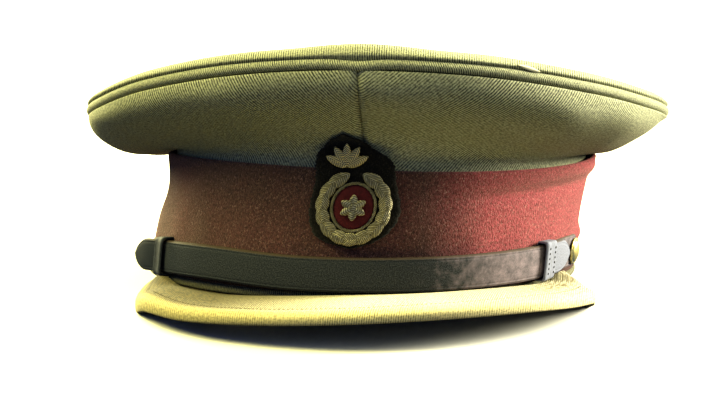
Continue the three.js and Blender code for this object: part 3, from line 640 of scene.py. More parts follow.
def frayed_lining():
    """A scrap of pale lining where the rim has frayed: a lens along the roll that stands a little off its face and
    drops towards its right end."""
    part = np.linspace(0, 1, 40)[:, None]
    deg = 27.5 + 4.6 * part
    side = np.linspace(-1, 1, 9)
    out = rim_line(deg)[0] + 1.9 - 0.3 * side**2
    up = crown_curve(deg)[3][1] + 2 * GAP + 2 * CORD_RADIUS
    half = 0.8 * np.sin(np.pi * part)**0.7
    return crown_point(deg, out, up + 1.1 - 1.3 * part + half * side)


def quarter(start, end, slant):
    """One quarter of the crown's side: the cubic from seat to rim at each angle, tucked behind the band at its
    foot and eased out to meet the rim's cord, with its edges turned in along the seams and slow unevenness. The
    cloth was cut as a fan, so its ribs turn along the panel."""
    deg = np.linspace(start, end, 150)[:, None]
    t = np.linspace(0, 1, 56)
    out, up = crown_side(deg, t)
    out = out + 1.3 * smooth((t - 0.55) / 0.35)
    foot_up = np.linspace(-CROWN_TUCK, 0, 6, endpoint=False)
    out = np.concatenate((np.broadcast_to(out[:, :1], (len(deg), 6)), out), 1)
    up = np.concatenate((np.broadcast_to(foot_up, (len(deg), 6)) + 0 * deg, up), 1)
    grid = crown_point(deg, out, up)
    ahead = arc_length(grid, 0)
    rise = arc_length(grid, 1)
    share = rise / rise[:, -1:]
    edge = np.minimum(ahead, ahead[-1:] - ahead)
    turned_in = -1.3 * np.exp(-(edge / 1.1)**2) * smooth((share - 0.12) / 0.1)
    swell = ripple(deg * 1.7 + 0 * rise, rise, 11, (60, 42, 33, 26), 0.5)
    swell = swell * smooth((share - 0.2) / 0.2) * smooth((1 - share) / 0.15)
    grid = grid + (turned_in + swell)[..., None] * normals(grid)
    fan = math.radians(0.4) * (deg - (start + end) / 2)
    radius = 170 + rise
    return grid, turned(radius * np.sin(fan), radius * np.cos(fan), slant)


def corded(radius, line, sides, slant):
    """A corded edge: a round cord along a line given as distance out and height at each angle, its cloth
    wrapped so that the ribs cross it."""
    deg = np.linspace(-180, 180, 540, endpoint=False)[:, None]
    out, height = line(deg)
    turn = circle(sides)
    grid = cap_point(deg, out + radius * np.cos(turn), height + radius * np.sin(turn))
    wrapped = joined(grid, 0)
    ahead = arc_length(wrapped, 0)[:, :1] + np.zeros(sides + 1)
    round_it = radius * np.linspace(0, 2 * np.pi, sides + 1)
    return grid, np.stack((ahead + slant * round_it, round_it + 0 * ahead), -1)


def felt_band():
    """The band: the felt's wall carried round the oval, its top edge rounded over, with a soft fold, a
    rolled lip and a hump at the right, where the strap's button pushes it out."""
    deg = np.linspace(-180, 180, 540, endpoint=False)[:, None]
    low = 2 * WELT_RADIUS + GAP
    top = band_top(deg)
    level = np.linspace(0, 1, 40)
    height = low + (top - 0.5 * BAND_WALL - low) * level
    half = BAND_WALL / 2
    over = np.linspace(0, np.pi, 9)[1:-1]
    hump = lambda up: 1.5 * near(deg, 86, 16) * np.exp(-((up - 16.5) / 3.2)**2)
    fold = lambda up: -2.8 * near(deg, 54, 40) * np.exp(-((up - 38.5 - 0.04 * (deg - 56)) / 2.7)**2)
    roll = lambda up: 1.4 * near(deg, 80, 34) * np.exp(-((up - 43.5) / 2.8)**2)
    worked = lambda up: band_out(deg, up) + hump(up) + fold(up) + roll(up)
    out = worked(height) + ripple(deg * 1.6, height, 5, (34, 23, 48, 17), 0.35) * smooth(3 * (1 - level))
    lip = band_out(deg, top)
    round_out = lip - half + half * np.cos(over)
    round_up = top - half + half * np.sin(over)
    inner = np.linspace(1, 0, 14)
    inner_height = low + (top - half - low) * inner
    inner_out = worked(inner_height) - BAND_WALL
    outs = np.concatenate((out, round_out, inner_out), 1)
    heights = np.concatenate((height, round_up, inner_height), 1)
    grid = cap_point(deg, outs, heights)
    ring = joined(grid, 0, 1)
    ahead = arc_length(ring, 0)[:, :1] + 0 * ring[..., 0]
    return grid, np.stack((ahead, arc_length(ring, 1)), -1)


def peak_shape(deg):
    """Facts of the peak at each angle: its reach, root, edge and underside."""
    part = np.abs(deg - PEAK_TURN) / PEAK_HALF
    reach = PEAK_REACH * np.maximum(1 - part**PEAK_FULLNESS, 0)**(1 / PEAK_CORNER)
    value = lambda column: through(PEAK_SECTIONS["deg"], PEAK_SECTIONS[column], deg)
    front = band_out(deg, 0) + WELT_RADIUS - WELT_INSET + GAP
    arch = (PEAK_ARCH + PEAK_WING_ARCH * part**4) * np.minimum(2 * reach / PEAK_REACH, 1)
    return reach, front, value("under"), value("edge"), value("root"), arch


def peak_point(deg, out, height):
    """A point of the peak at a height above the table."""
    point = cap_point(deg, out, 0, floor=False)
    point[..., 2] = np.maximum(np.broadcast_to(height, point.shape[:-1]), 0)
    return point


def peak_top(deg, s):
    """The peak's upper face from root, s = 0, to where its edge begins to roll, s = 1: a straight line with a
    bowed arch on it."""
    reach, front, under, edge, root, arch = peak_shape(deg)
    plane = cap_point(deg, front, 0, floor=False)[..., 2]
    part = np.abs(deg - PEAK_TURN) / PEAK_HALF
    lip = np.minimum((0.35 + 0.6 * (1 - part**2)) * edge, reach / 4)
    out = front + GAP + (reach - lip - GAP) * s
    start = plane + root
    height = start + (under + edge - start) * s + arch * 4 * s * (1 - s)
    return out, height, lip


def peak_board():
    """The peak as one closed board: a root under the welt, the upper face with a sewn groove near its edge, a
    rolled edge and the underside, carried round the front of the band."""
    turn = np.linspace(-90, 90, 221)
    deg = (PEAK_TURN + 0.998 * PEAK_HALF * np.sin(np.radians(turn)))[:, None]
    reach, front, under, edge = peak_shape(deg)[:4]
    plane = cap_point(deg, front, 0, floor=False)[..., 2]
    out, top, lip = peak_top(deg, np.linspace(0, 1, 44))
    from_edge = front + reach - out
    groove = -STITCH_DEPTH * np.exp(-((from_edge - STITCH_INSET) / 0.7)**2) * smooth(reach / 12)
    roll = np.radians(np.linspace(90, -90, 16)[1:-1])
    roll_out = front + reach - lip + lip * np.cos(roll)**np.where(roll < 0, 0.2, 0.8)
    roll_up = under + edge / 2 + edge / 2 * np.sin(roll)
    back = np.linspace(1, 0, 24)
    back_out, back_top, _ = peak_top(deg, back)
    back_up = back_top - PEAK_BOARD
    back_up = back_up + (under - back_up) * smooth((back - 0.8) / 0.2)
    tongue = front - 2 * WELT_RADIUS
    tongue_up = cap_point(deg, tongue, 0, floor=False)[..., 2] - GAP
    outs = np.concatenate((tongue, front, out, roll_out, back_out, front, tongue), 1)
    ups = np.concatenate((tongue_up, plane - GAP, top + groove, roll_up, back_up,
                          plane - GAP - PEAK_BOARD / 2, tongue_up - PEAK_BOARD / 2), 1)
    grid = peak_point(deg, outs, ups)
    loop = joined(grid, 1)
    down = arc_length(loop, 1)
    return grid, np.stack((loop[..., 0] + 0.12 * down, down - down[:, 45:46]), -1)


def peak_stitches(spacing):
    """A row of stitches along the groove: small beads laid end to end a set distance from the edge."""
    fine = np.linspace(-44, 52, 1500)
    reach, front = peak_shape(fine)[:2]
    line_out = front + reach - STITCH_INSET
    s = (line_out - front - GAP) / np.maximum(reach - peak_top(fine, 0.0)[2] - GAP, 1e-6)
    path = peak_point(fine, line_out, peak_top(fine, s)[1] - STITCH_DEPTH)
    length = arc_length(path[:, None], 0)[:, 0]
    steps = np.arange(spacing, length[-1] - spacing, spacing)
    centres = np.stack([np.interp(steps, length, path[:, k]) for k in range(3)], -1)
    upright = np.array([0, 0, 1.0])
    ahead = unit(np.gradient(centres, axis=0))
    slanted = ahead * 0.9 + unit(np.cross(upright, ahead)) * 0.44
    across = np.cross(upright, slanted)
    return ovals(centres, slanted, across, np.cross(slanted, across), (0.3 * spacing, 0.2, 0.2))


def strap_point(deg, out, side):
    """A point of the strap: a distance out from the proudest felt under it and a distance above its middle
    line."""
    height = through(STRAP_SECTIONS["deg"], STRAP_SECTIONS["height"], deg)
    felt = np.maximum.reduce([band_out(deg, height + edge) for edge in (-STRAP_HALF, 0, STRAP_HALF)])
    return cap_point(deg, felt + out, height + side)


def tab_standoff(deg):
    """How far the free tab has sprung away from the band."""
    part = np.maximum((deg - TAB_START) / (TAB_END - TAB_START), 0)
    return TAB_STANDOFF * part**TAB_CURL


def strap(start, end, near_face, far_face, crown, lifted):
    """A flat strap along the band: a crowned face with a creased line inside each long edge, rounded edges and
    round ends, carried along its path."""
    per_mm = math.degrees(1 / HEAD_LENGTH)
    length = (end - start) / per_mm
    point = (1.5 if lifted else 1.0) * STRAP_HALF
    round_off = point * (1 - np.cos(np.linspace(0, np.pi / 2, 24)))
    place = np.concatenate((round_off, np.linspace(point, length - point, 240)[1:-1], (length - round_off)[::-1]))
    to_end = np.minimum(np.minimum(place, length - place) / point, 1) * STRAP_HALF
    half = np.sqrt(np.maximum(STRAP_HALF**2 - (STRAP_HALF - to_end)**2, 0))[:, None]
    deg = (start + place * per_mm)[:, None]
    side = np.sin(np.linspace(-np.pi / 2, np.pi / 2, 41))
    from_edge = half * (1 - np.abs(side))
    ease = 0.55 * (1 - smooth(from_edge / 0.8))
    crease = 0.22 * np.exp(-((from_edge - 1.25) / 0.22)**2) * (half > 3)
    lift = tab_standoff(deg) if lifted else 0 * deg
    face = far_face + crown * (1 - side**2) - ease - crease + lift
    under = near_face + ease[:, ::-4] * 0.6 + lift
    grid = np.concatenate((strap_point(deg, face, half * side), strap_point(deg, under, half * side[::-4])), 1)
    across = np.concatenate((half * side, half * side[::-4], half * side[:1]), 1)
    ahead = HEAD_LENGTH * np.radians(deg) - (0 if lifted else 60) + 0 * across
    return grid, np.stack((ahead, across), -1)


def keeper_face(deg, start, end, mouth):
    """The keeper's inner face above the strap and how far its mouth has flared there."""
    along = (deg - start) / (end - start)
    flare = 0.9 * ((1 - along) if mouth < 0 else along)**3
    return OVER_FAR + OVER_CROWN + GAP + tab_standoff(deg) + flare, flare


def keeper(start, end, mouth):
    """A leather loop round both layers: a flat strip with rounded edges carried round a rounded oblong, its
    mouth flared towards the middle of the cap."""
    turn = circle(64)
    squared = lambda x: np.sign(x) * np.abs(x)**0.32
    along = np.concatenate((np.linspace(0, 1, 10), np.linspace(1, 0, 10)))
    rounding = np.minimum(np.minimum(along, 1 - along) / 0.12, 1)
    grow = np.where(np.arange(20) < 10, 0, 0.35 + 0.65 * np.sqrt(rounding))
    deg = start + (end - start) * along
    face, flare = keeper_face(deg, start, end, mouth)
    far = face + KEEPER_FRONT * grow
    low = KEEPER_NEAR + KEEPER_BACK - KEEPER_BACK * grow
    half = STRAP_HALF + GAP + KEEPER_SIDE * grow + 0.5 * flare
    wave_out, wave_side = squared(np.cos(turn))[:, None], squared(np.sin(turn))[:, None]
    out = (far + low) / 2 + (far - low) / 2 * wave_out
    grid = strap_point(deg, out, half * wave_side)
    loop = joined(grid, 0, 1)
    return grid, np.stack((HEAD_LENGTH * np.radians(start) + arc_length(loop, 1), 0.15 * arc_length(loop, 0) - 3), -1)


def keeper_holes(deg_rows, start, end, mouth):
    """Rows of sewn holes across the keeper: dark sunken beads on its face."""
    side = np.linspace(-4.8, 4.8, 6)
    deg = np.repeat(np.asarray(deg_rows, float), len(side))
    side = np.tile(side, len(deg_rows))
    out = keeper_face(deg, start, end, mouth)[0] + KEEPER_FRONT
    centres = strap_point(deg, out, side)
    ahead = unit(strap_point(deg + 0.5, out, side) - centres)
    up = unit(strap_point(deg, out, side + 1) - centres)
    return ovals(centres, up, ahead, np.cross(ahead, up), (0.5, 0.38, 0.22))


def domed_button(deg):
    """A domed button turned about its axis: shank, flat seat, rounded rim with a rope of small notches and a
    dome, set square to the strap."""
    foot = strap_point(deg, 0.0, 0.0)
    ahead = strap_point(deg + 1, 0.0, 0.0) - strap_point(deg - 1, 0.0, 0.0)
    up = strap_point(deg, 0.0, 1.0) - foot
    axis = unit(np.cross(ahead, up))
    ahead = unit(ahead)
    up = np.cross(axis, ahead)
    seat = UNDER_FAR + GAP
    rim = np.linspace(-np.pi / 2, np.pi / 2, 9)
    dome = np.linspace(0, np.pi / 2, 12)
    inner = BUTTON_RADIUS - 1.2 * BUTTON_RIM
    radius = np.concatenate(([0, BUTTON_SHANK, BUTTON_SHANK], BUTTON_RADIUS - 0.4 + 0.4 * np.cos(rim),
                             inner * np.cos(dome)))
    lift = np.concatenate(([GAP, GAP, seat], seat + BUTTON_RIM / 2 + BUTTON_RIM / 2 * np.sin(rim),
                           seat + 0.8 * BUTTON_RIM + BUTTON_DOME * np.sin(dome)))
    turn = circle(72)
    rope = np.concatenate((np.zeros(3), np.cos(rim), np.zeros(12)))[:, None] * 0.12 * np.cos(24 * turn)
    across = radius[:, None] + rope
    return (foot + lift[:, None, None] * axis + (across * np.cos(turn))[..., None] * ahead
            + (across * np.sin(turn))[..., None] * up)


def crown_out(deg, up):
    """Distance out of the crown's side at a height, by halving the cubic's range."""
    deg, up = np.broadcast_arrays(deg, up)
    low, high = np.zeros(up.shape), np.ones(up.shape)
    for _ in range(22):
        t = (low + high) / 2
        below = crown_side(deg, t)[1] < up
        low, high = np.where(below, t, low), np.where(below, high, t)
    seat = crown_curve(deg)[0]
    return np.where(up <= seat[1], seat[0], crown_side(deg, low)[0])


def badge_point(across, up, lift):
    """A point of the badge, drawn flat as across, up and lift, laid over band and crown."""
    across, up, lift = np.broadcast_arrays(across, up, lift)
    deg = PATCH_DEG + np.degrees(across / HEAD_WIDTH)
    height = PATCH_HEIGHT + up
    over_crown = crown_out(deg, height - band_top(deg)) + 2 * GAP
    backing = np.maximum(np.maximum(band_out(deg, height), over_crown), 0)
    return cap_point(deg, backing + GAP + lift, height)


def felt_patch():
    """The badge's patch: its left and right edges at each height, with a cut edge that wavers, a rounded face and
    a flat back."""
    low, high = PATCH_OUTLINE["up"][0] - 0.7, PATCH_OUTLINE["up"][-1] + 0.7
    up = ((low + high) / 2 + (high - low) / 2 * np.sin(np.linspace(-np.pi / 2, np.pi / 2, 96)))[:, None]
    edges = [through(PATCH_OUTLINE["up"], PATCH_OUTLINE[side], np.clip(up, low + 0.7, high - 0.7))
             for side in ("left", "right")]
    middle, half = (edges[0] + edges[1]) / 2, (edges[1] - edges[0]) / 2
    half = half * np.sqrt(np.clip(np.minimum(high - up, up - low) / 2.0, 0, 1))
    half = half + (0.35 * np.sin(up * 2.3) * np.sin(up * 0.83 + 1) + 0.2 * np.sin(up * 5.1)) * (half > 2)
    side = np.sin(np.linspace(-np.pi / 2, np.pi / 2, 41))
    from_edge = half * (1 - np.abs(side))
    face = PATCH_THICK * (0.35 + 0.65 * np.sqrt(np.clip(from_edge / 1.2, 0, 1)))
    face = face + 0.12 * ripple(half * side, up, 8, (4, 6, 9, 2.7), 1.0)
    return np.concatenate((badge_point(middle + half * side, up, face),
                           badge_point(middle + half * side[::-4], up, 0.0)), 1)


def lobes(across, up, turn, length, width, thick, base, wire, slant):
    """Raised leaves or petals, each padded and covered with slanting rows of wire: an oval section that swells
    and closes along its length, ridged where the rows cross it."""
    across, up, turn = (np.asarray(v, float)[:, None, None] for v in (across, up, turn))
    a = np.cos(np.linspace(np.pi, 0, 44))[:, None]
    ring = circle(28)
    half = width / 2 * np.maximum(1 - a**2, 0)**0.62 * (1 - 0.18 * a)
    ahead = a * length / 2 + 0 * ring
    side = half * np.cos(ring)
    crossing = ahead + slant * np.abs(side)
    rows = np.cos(2 * np.pi * crossing / wire)
    top = np.maximum(np.sin(ring), 0)
    swell = np.maximum(1 - a**2, 0)**0.5
    lift = thick / 2 * (1 + np.sin(ring) * swell) + 0.17 * rows * top * swell
    lift = base + np.where(np.sin(ring) < 0, thick / 2 * (1 + np.sin(ring)), lift)
    c, s = np.cos(np.radians(turn)), np.sin(np.radians(turn))
    place_across = across + side * c + ahead * s
    place_up = up - side * s + ahead * c
    grid = badge_point(place_across, place_up, lift + 0 * across)
    flat = joined(np.stack((crossing, side), -1), 1)
    return grid, np.broadcast_to(flat, (len(across),) + flat.shape)


def wire_ring(middle_up, half_across, half_up, radius, lift, twists):
    """A twisted cord laid in an oval: a round section whose surface rises in twisted strands."""
    turn = circle(420)[:, None]
    ring = circle(12)
    thick = radius * (1 + 0.22 * np.cos(2 * (ring - twists * turn)))
    reach = thick * np.cos(ring)
    across = WREATH_SIDE + (half_across + reach) * np.sin(turn)
    up = middle_up - (half_up + reach) * np.cos(turn)
    grid = badge_point(across, up, lift + radius + thick * np.sin(ring))
    loop = joined(grid, 0, 1)
    return grid, np.stack((arc_length(loop, 0), arc_length(loop, 1)), -1)


def velvet_pad():
    """The velvet: a low oval dome, fuller than a half ellipse, with a flat back."""
    rings = np.linspace(0, np.pi / 2, 24)[:, None]
    turn = circle(72)
    reach = np.cos(rings)
    across = WREATH_SIDE + VELVET_WIDTH / 2 * reach * np.sin(turn)
    up = WREATH_MIDDLE + VELVET_LENGTH / 2 * reach * np.cos(turn)
    base = PATCH_THICK + GAP
    face = badge_point(across, up, base + VELVET_THICK * np.sin(rings)**0.7)
    return np.concatenate((badge_point(WREATH_SIDE + 0 * across[:1], WREATH_MIDDLE + 0 * up[:1], base), face))


# Settings


def length(name, description, default, low, high):
    """A length property, in metres."""
    return bpy.props.FloatProperty(name=name, description=description, default=default, min=low, max=high,
                                   precision=5, unit="LENGTH")


class CapSizes(bpy.types.PropertyGroup):
    """Sizes of the cap's finish"""
    rib_spacing: length("Rib spacing", "Distance between the twill's ribs", 0.00085, 0.0005, 0.004)
    felt_nap: length("Felt nap", "Size of the felt's tufts", 0.00065, 0.0002, 0.004)
    bullion_wire: length("Bullion wire", "Width of one row of coiled wire", 0.0008, 0.0003, 0.003)
    stitch_spacing: length("Stitch spacing", "Length of one stitch along the peak", 0.0017, 0.001, 0.005)


def tint(name, description, hex_code):
    """A colour property whose default is an sRGB hex value."""
    return bpy.props.FloatVectorProperty(name=name, description=description, default=linear(hex_code), size=3,
                                         min=0, max=1, subtype="COLOR")


class CapColours(bpy.types.PropertyGroup):
    """Colours of the cap's materials"""
    khaki_groove: tint("Khaki groove", "Shade between the twill's ribs", "#3c3e37")
    khaki_rib: tint("Khaki rib", "Lit backs of the twill's ribs", "#b3b08a")
    khaki_fleck: tint("Khaki fleck", "Brown yarn mixed into the twill", "#6b6353")
    khaki_worn: tint("Khaki dust", "Dusty, rubbed places on the twill", "#97947a")
    # Khaki soil: painted shade on the peak's left half, and real soil in its right corner.
    khaki_soil_and_shade: tint("Khaki soil", "Handled, browned corners of the peak", "#584b27")
    # Khaki edge: the peak's rubbed edge, partly painted highlight along the crest of its roll.
    khaki_edge_wear_and_highlight: tint("Khaki edge", "Pale, rubbed edge of the peak", "#e0d08c")
    felt_deep: tint("Felt depth", "Depth of the felt's nap", "#380f14")
    felt_fibre: tint("Felt fibre", "Ends of the felt's fibres", "#a04650")
    # Felt wear: partly wear and partly painted shade on the front left of the band.
    felt_brown_wear_and_shade: tint("Felt wear", "Brown wear of the felt", "#523b38")
    # Felt soil: painted shade along the band's foot and in its darkened front left.
    felt_soil_and_shade: tint("Felt soil", "Depth of the worn nap", "#181214")
    felt_hair: tint("Felt hair", "Single pale fibres on the felt", "#cfa79b")
    patch_felt: tint("Patch felt", "Felt of the badge's patch", "#12110f")
    patch_dust: tint("Patch dust", "Dusty fibre ends on the patch", "#4a4640")
    velvet_deep: tint("Velvet depth", "Depth of the velvet's pile", "#2a0d10")
    velvet_lit: tint("Velvet tips", "Tips of the velvet's pile", "#5e1f26")
    bullion: tint("Bullion", "Bright backs of the gilt wire", "#bdb592")
    bullion_deep: tint("Bullion depth", "Shade between the coils", "#383324")
    bullion_tarnish: tint("Bullion tarnish", "Tarnished wire", "#686245")
    # Clean bullion: painted light on the wire towards the top of the badge.
    bullion_painted_light: tint("Clean bullion", "Wire at the top that has kept its gilding", "#f0d890")
    leather: tint("Leather", "Dyed and waxed leather", "#23272c")
    leather_worn: tint("Worn leather", "Leather with its dye rubbed off", "#94848c")
    # Leather edge: the raw edge, with painted highlight along the strap's upper edge.
    leather_edge_and_highlight: tint("Leather edge", "Raw cut edge of the leather", "#483c2f")
    # Leather bloom: partly a bloom on the wax, partly painted sheen.
    leather_bloom_and_sheen: tint("Leather bloom", "Grey bloom on the leather's wax", "#828698")
    leather_dust: tint("Leather dust", "Dust in the grain", "#545659")
    gilt: tint("Gilt", "Bright gilding", "#cdbd78")
    gilt_dull: tint("Dull gilt", "Worn gilding", "#857a48")
    paper: tint("Paper", "The floor", "#f2f1ec")


def sizes_and_colours(context):
    """The scene's two groups of settings."""
    return context.scene.cap_sizes, context.scene.cap_colours


def twill(context, kind=""):
    """The cap's cloth by kind: as it is, the peak's lighter copy (partly faded, partly painted light), or the welt's
    darker copy (painted shade under the strap).
    """
    name = "woven wool whipcord" + kind
    return made(name, twill_material, name, *sizes_and_colours(context), *TWILLS[kind])


def cotton(name, hex_code):
    """Cotton thread or cloth of a colour."""
    return made(name, thread_material, name, linear(hex_code))


def lay(name, shape, wrap, material, nodes=(), thickness=None):
    """Makes a piece from a grid, or from a grid and its places on the cloth, and dresses it. A thickness makes an
    open sheet of it."""
    grid, flat = shape if isinstance(shape, tuple) else (shape, None)
    piece = surface(name, grid, flat, wrap, closed=thickness is None)
    if thickness is not None:
        wall(piece, thickness)
    dress(piece, material, nodes)


def studio_world():
    """White to the camera; for light, a dim blue below that grows warm and bright towards one side above."""
    world = bpy.data.worlds.new("studio")
    world.use_nodes = True
    tree = world.node_tree
    tree.nodes.clear()
    towards = add(tree, "TexCoord").outputs["Generated"]
    lean = add(tree, "VectorMath", {"operation": "DOT_PRODUCT", 1: SKY_UP}, {0: towards}).outputs["Value"]
    above = add(tree, "Math", {"operation": "MAXIMUM", 1: 0.0}, {0: lean}).outputs["Value"]
    height = add(tree, "Math", {"operation": "POWER", 1: SKY_FALL, "use_clamp": True}, {0: above}).outputs["Value"]
    fill = add(tree, "Background", {"Strength": 1.0}, {"Color": blend(tree, height, SKY_LOW, SKY_HIGH)})
    backdrop = add(tree, "Background", {"Color": (1.0, 1.0, 1.0, 1.0), "Strength": 1.0})
    seen = add(tree, "LightPath").outputs["Is Camera Ray"]
    either = add(tree, "MixShader", {}, {0: seen, 1: fill.outputs["Background"], 2: backdrop.outputs["Background"]})
    add(tree, "OutputWorld", {}, {"Surface": either.outputs["Shader"]})
    return world


def stand(scene, data, back, location=(0.0, 0.0, 0.0)):
    """Puts a lamp or a camera in the scene with its back towards a direction."""
    holder = bpy.data.objects.new(data.name, data)
    holder.location = location
    holder.rotation_euler = Vector(back).to_track_quat("Z", "Y").to_euler()
    scene.collection.objects.link(holder)
    return holder


# Operators


class CAP_OT_crown(bpy.types.Operator):
    """Makes the top panel, the corded rim and the four quarters"""
    bl_idname = "cap.crown"
    bl_label = "Crown"

    def execute(self, context):
        cloth, slot = twill(context), "khaki_twill"
        lay("top_panel", top_panel(), (True, False), cloth, ("crown_top",), CROWN_WALL)
        line = lambda deg: (rim_line(deg)[0], band_top(deg) + rim_line(deg)[1])
        lay("rim_cord", corded(CORD_RADIUS, line, 20, 0.25), (True, True), cloth, ("rim_piping",))
        pale = cotton("torn cotton lining", "#d8d2b8")
        lay("rim_lining", frayed_lining(), (False, False), pale, (), LINING_WALL)
        quarters = {"front_left": (-90, FRONT_SEAM, -12), "front_right": (FRONT_SEAM, 90, 26),
                    "back_left": (-180, -90, 26), "back_right": (90, 180, -12)}
        for name, (start, end, slant) in quarters.items():
            lay("crown_" + name, quarter(start, end, slant), (False, False), cloth, ("quarter_" + name,),
                CROWN_WALL)
        return {"FINISHED"}


class CAP_OT_band(bpy.types.Operator):
    """Makes the felt band and the corded welt under it"""
    bl_idname = "cap.band"
    bl_label = "Band"

    def execute(self, context):
        felt = made("milled wool felt, red", felt_material, *sizes_and_colours(context))
        lay("felt_band", felt_band(), (True, True), felt, ("band",))
        line = lambda deg: (band_out(deg, 0.0) - WELT_INSET, WELT_RADIUS + 0 * deg)
        # The welt's darker whipcord copy is painted shade under the strap.
        cloth = twill(context, ", soiled")
        lay("welt_cord", corded(WELT_RADIUS, line, 16, 0.3), (True, True), cloth, ("band_welt",))
        return {"FINISHED"}


class CAP_OT_peak(bpy.types.Operator):
    """Makes the peak and its row of stitches"""
    bl_idname = "cap.peak"
    bl_label = "Peak"

    def execute(self, context):
        # The peak's lighter whipcord copy is partly fading and partly painted light.
        lay("peak_board", peak_board(), (False, True), twill(context, ", faded"), ("peak",))
        stitches = peak_stitches(context.scene.cap_sizes.stitch_spacing / MM)
        lay("peak_stitches", stitches, (False, True), cotton("waxed khaki thread", "#4d4428"))
        return {"FINISHED"}


class CAP_OT_badge(bpy.types.Operator):
    """Makes the felt patch, the velvet and the bullion work"""
    bl_idname = "cap.badge"
    bl_label = "Badge"

    def execute(self, context):
        sizes, colours = sizes_and_colours(context)
        gold = made("coiled gilt bullion wire", bullion_material, sizes, colours)
        wire, base = sizes.bullion_wire / MM, PATCH_THICK + GAP
        felt = made("milled wool felt, near black", patch_material, colours)
        lay("felt_patch", felt_patch(), (False, True), felt, ("badge_patch",))
        velvet = made("cut velvet pile", velvet_material, colours)
        lay("velvet_pad", velvet_pad(), (False, True), velvet, ("badge_velvet",))
        turn = np.repeat(np.linspace(24, 148, 6), 2)
        side = np.tile((-1.0, 1.0), 6)
        across = np.append(WREATH_SIDE + side * WREATH_ACROSS * np.sin(np.radians(turn)), WREATH_SIDE)
        up = np.append(WREATH_MIDDLE - WREATH_UP * np.cos(np.radians(turn)), WREATH_MIDDLE - WREATH_UP)
        leaves = lobes(across, up, np.append(side * (90 - turn), 90), 8.6, 5.0, 2.0, base, wire, 0.9)
        lay("bullion_wreath", leaves, (False, True), gold, ("badge_wreath",))
        turn = 60.0 * np.arange(6)
        across = WREATH_SIDE + np.append(2.7 * np.sin(np.radians(turn)), 0)
        up = np.append(WREATH_MIDDLE + 2.7 * np.cos(np.radians(turn)), WREATH_MIDDLE)
        petals = lobes(across, up, np.append(turn, 0), 4.4, 3.0, 1.6, base + VELVET_THICK + GAP, wire, 0.4)
        lay("bullion_rosette", petals, (False, True), gold, ("badge_rosette",))
        turn = 32.0 * np.arange(-2, 3)
        across = PALMETTE_SIDE + 4.2 * np.sin(np.radians(turn))
        up = PALMETTE_BASE + 4.2 * np.cos(np.radians(turn))
        fan = lobes(across, up, turn, 8.4, 3.4, 2.0, base, wire, 0.9)
        lay("bullion_palmette", fan, (False, True), gold, ("badge_palmette",))
        cord = wire_ring(WREATH_MIDDLE, VELVET_WIDTH / 2 + 0.5, VELVET_LENGTH / 2 + 0.5, 0.55, base + 0.2, 60)
        lay("bullion_cord", cord, (True, True), gold)
        return {"FINISHED"}


class CAP_OT_strap(bpy.types.Operator):
    """Makes both layers of the strap, its keepers and their sewn holes"""
    bl_idname = "cap.strap"
    bl_label = "Chin strap"

    def execute(self, context):
        hide, slot = made("waxed strap leather", leather_material, context.scene.cap_colours), "strap_leather"
        over = strap(OVER_LEFT, OVER_RIGHT, OVER_NEAR, OVER_FAR, OVER_CROWN, True)
        lay("strap_face", over, (False, True), hide, ("strap_front",))
        under = strap(-UNDER_END, UNDER_END, UNDER_NEAR, UNDER_FAR, 0.0, False)
        lay("strap_under", under, (False, True), hide, ("strap_back",))
        for side, (start, end) in KEEPERS.items():
            loop = keeper(start, end, -1 if side == "right" else 1)
            lay("keeper_loop_" + side, loop, (True, True), hide, ("keeper_" + side,))
        holes = keeper_holes((49.8, 52.2), *KEEPERS["right"], -1)
        lay("keeper_stitches", holes, (False, True), cotton("waxed black thread", "#16130f"))
        return {"FINISHED"}


class CAP_OT_buttons(bpy.types.Operator):
    """Makes the two gilt buttons"""
    bl_idname = "cap.buttons"
    bl_label = "Buttons"

    def execute(self, context):
        gilt = made("gilded brass", gilt_material, context.scene.cap_colours)
        for side, deg in (("left", -BUTTON_DEG), ("right", BUTTON_DEG)):
            lay("domed_button_" + side, domed_button(deg), (False, True), gilt, ("button_" + side,))
        return {"FINISHED"}


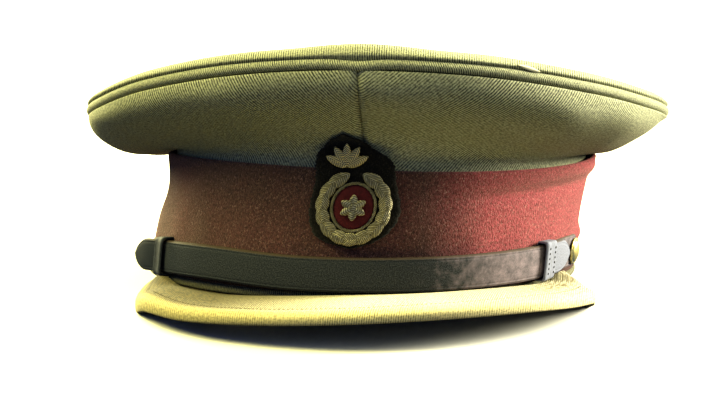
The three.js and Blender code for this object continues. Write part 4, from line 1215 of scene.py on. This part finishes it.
class CAP_OT_stage(bpy.types.Operator):
    """Makes the floor, the lights and the camera"""
    bl_idname = "cap.stage"
    bl_label = "Stage"

    def execute(self, context):
        scene = context.scene
        place = np.linspace(-FLOOR_HALF, FLOOR_HALF, 9)
        floor = np.stack(np.meshgrid(place, place, [0.0], indexing="ij"), -1).reshape(9, 9, 3)
        sheet = surface("paper_floor", floor, closed=False)
        sheet.data.materials.append(made("matt white paper", paper_material, scene.cap_colours))
        sheet.visible_glossy = False
        scene.view_settings.view_transform = "Standard"
        scene.view_settings.look = "Medium High Contrast"
        scene.world = studio_world()
        for name, (direction, strength, spread, colour) in LAMPS.items():
            lamp = bpy.data.lights.new(name, "SUN")
            lamp.energy = strength
            lamp.angle = math.radians(spread)
            lamp.color = colour
            stand(scene, lamp, direction)
        azimuth, elevation = math.radians(VIEW_AZIMUTH), math.radians(VIEW_ELEVATION)
        back = Vector((math.sin(azimuth) * math.cos(elevation), -math.cos(azimuth) * math.cos(elevation),
                       math.sin(elevation)))
        camera = bpy.data.cameras.new("photo_camera")
        camera.sensor_width = 36.0
        camera.lens = VIEW_LENS
        camera.clip_end = 100.0
        scene.camera = stand(scene, camera, back, (Vector(VIEW_AIM) + back * VIEW_DISTANCE) * MM)
        return {"FINISHED"}


class CAP_PT_panel(bpy.types.Panel):
    """Lists the cap's pieces and settings in the sidebar"""
    bl_label = "Peaked cap"
    bl_idname = "CAP_PT_panel"
    bl_space_type = "VIEW_3D"
    bl_region_type = "UI"
    bl_category = "Cap"

    def draw(self, context):
        for operator in OPERATORS:
            self.layout.operator(operator.bl_idname)
        for group in sizes_and_colours(context):
            for name in group.__annotations__:
                self.layout.prop(group, name)


OPERATORS = (CAP_OT_stage, CAP_OT_crown, CAP_OT_band, CAP_OT_peak, CAP_OT_badge, CAP_OT_strap, CAP_OT_buttons)
CLASSES = (CapSizes, CapColours, *OPERATORS, CAP_PT_panel)


def register():
    """Registers the classes and their settings."""
    for each in CLASSES:
        bpy.utils.register_class(each)
    bpy.types.Scene.cap_sizes = bpy.props.PointerProperty(type=CapSizes)
    bpy.types.Scene.cap_colours = bpy.props.PointerProperty(type=CapColours)


def unregister():
    """Takes the classes and their settings away again."""
    del bpy.types.Scene.cap_colours
    del bpy.types.Scene.cap_sizes
    for each in reversed(CLASSES):
        bpy.utils.unregister_class(each)


def main():
    """Makes the stage and every piece."""
    register()
    for operator in OPERATORS:
        group, name = operator.bl_idname.split(".")
        getattr(getattr(bpy.ops, group), name)()


if __name__ == "__main__":
    main()
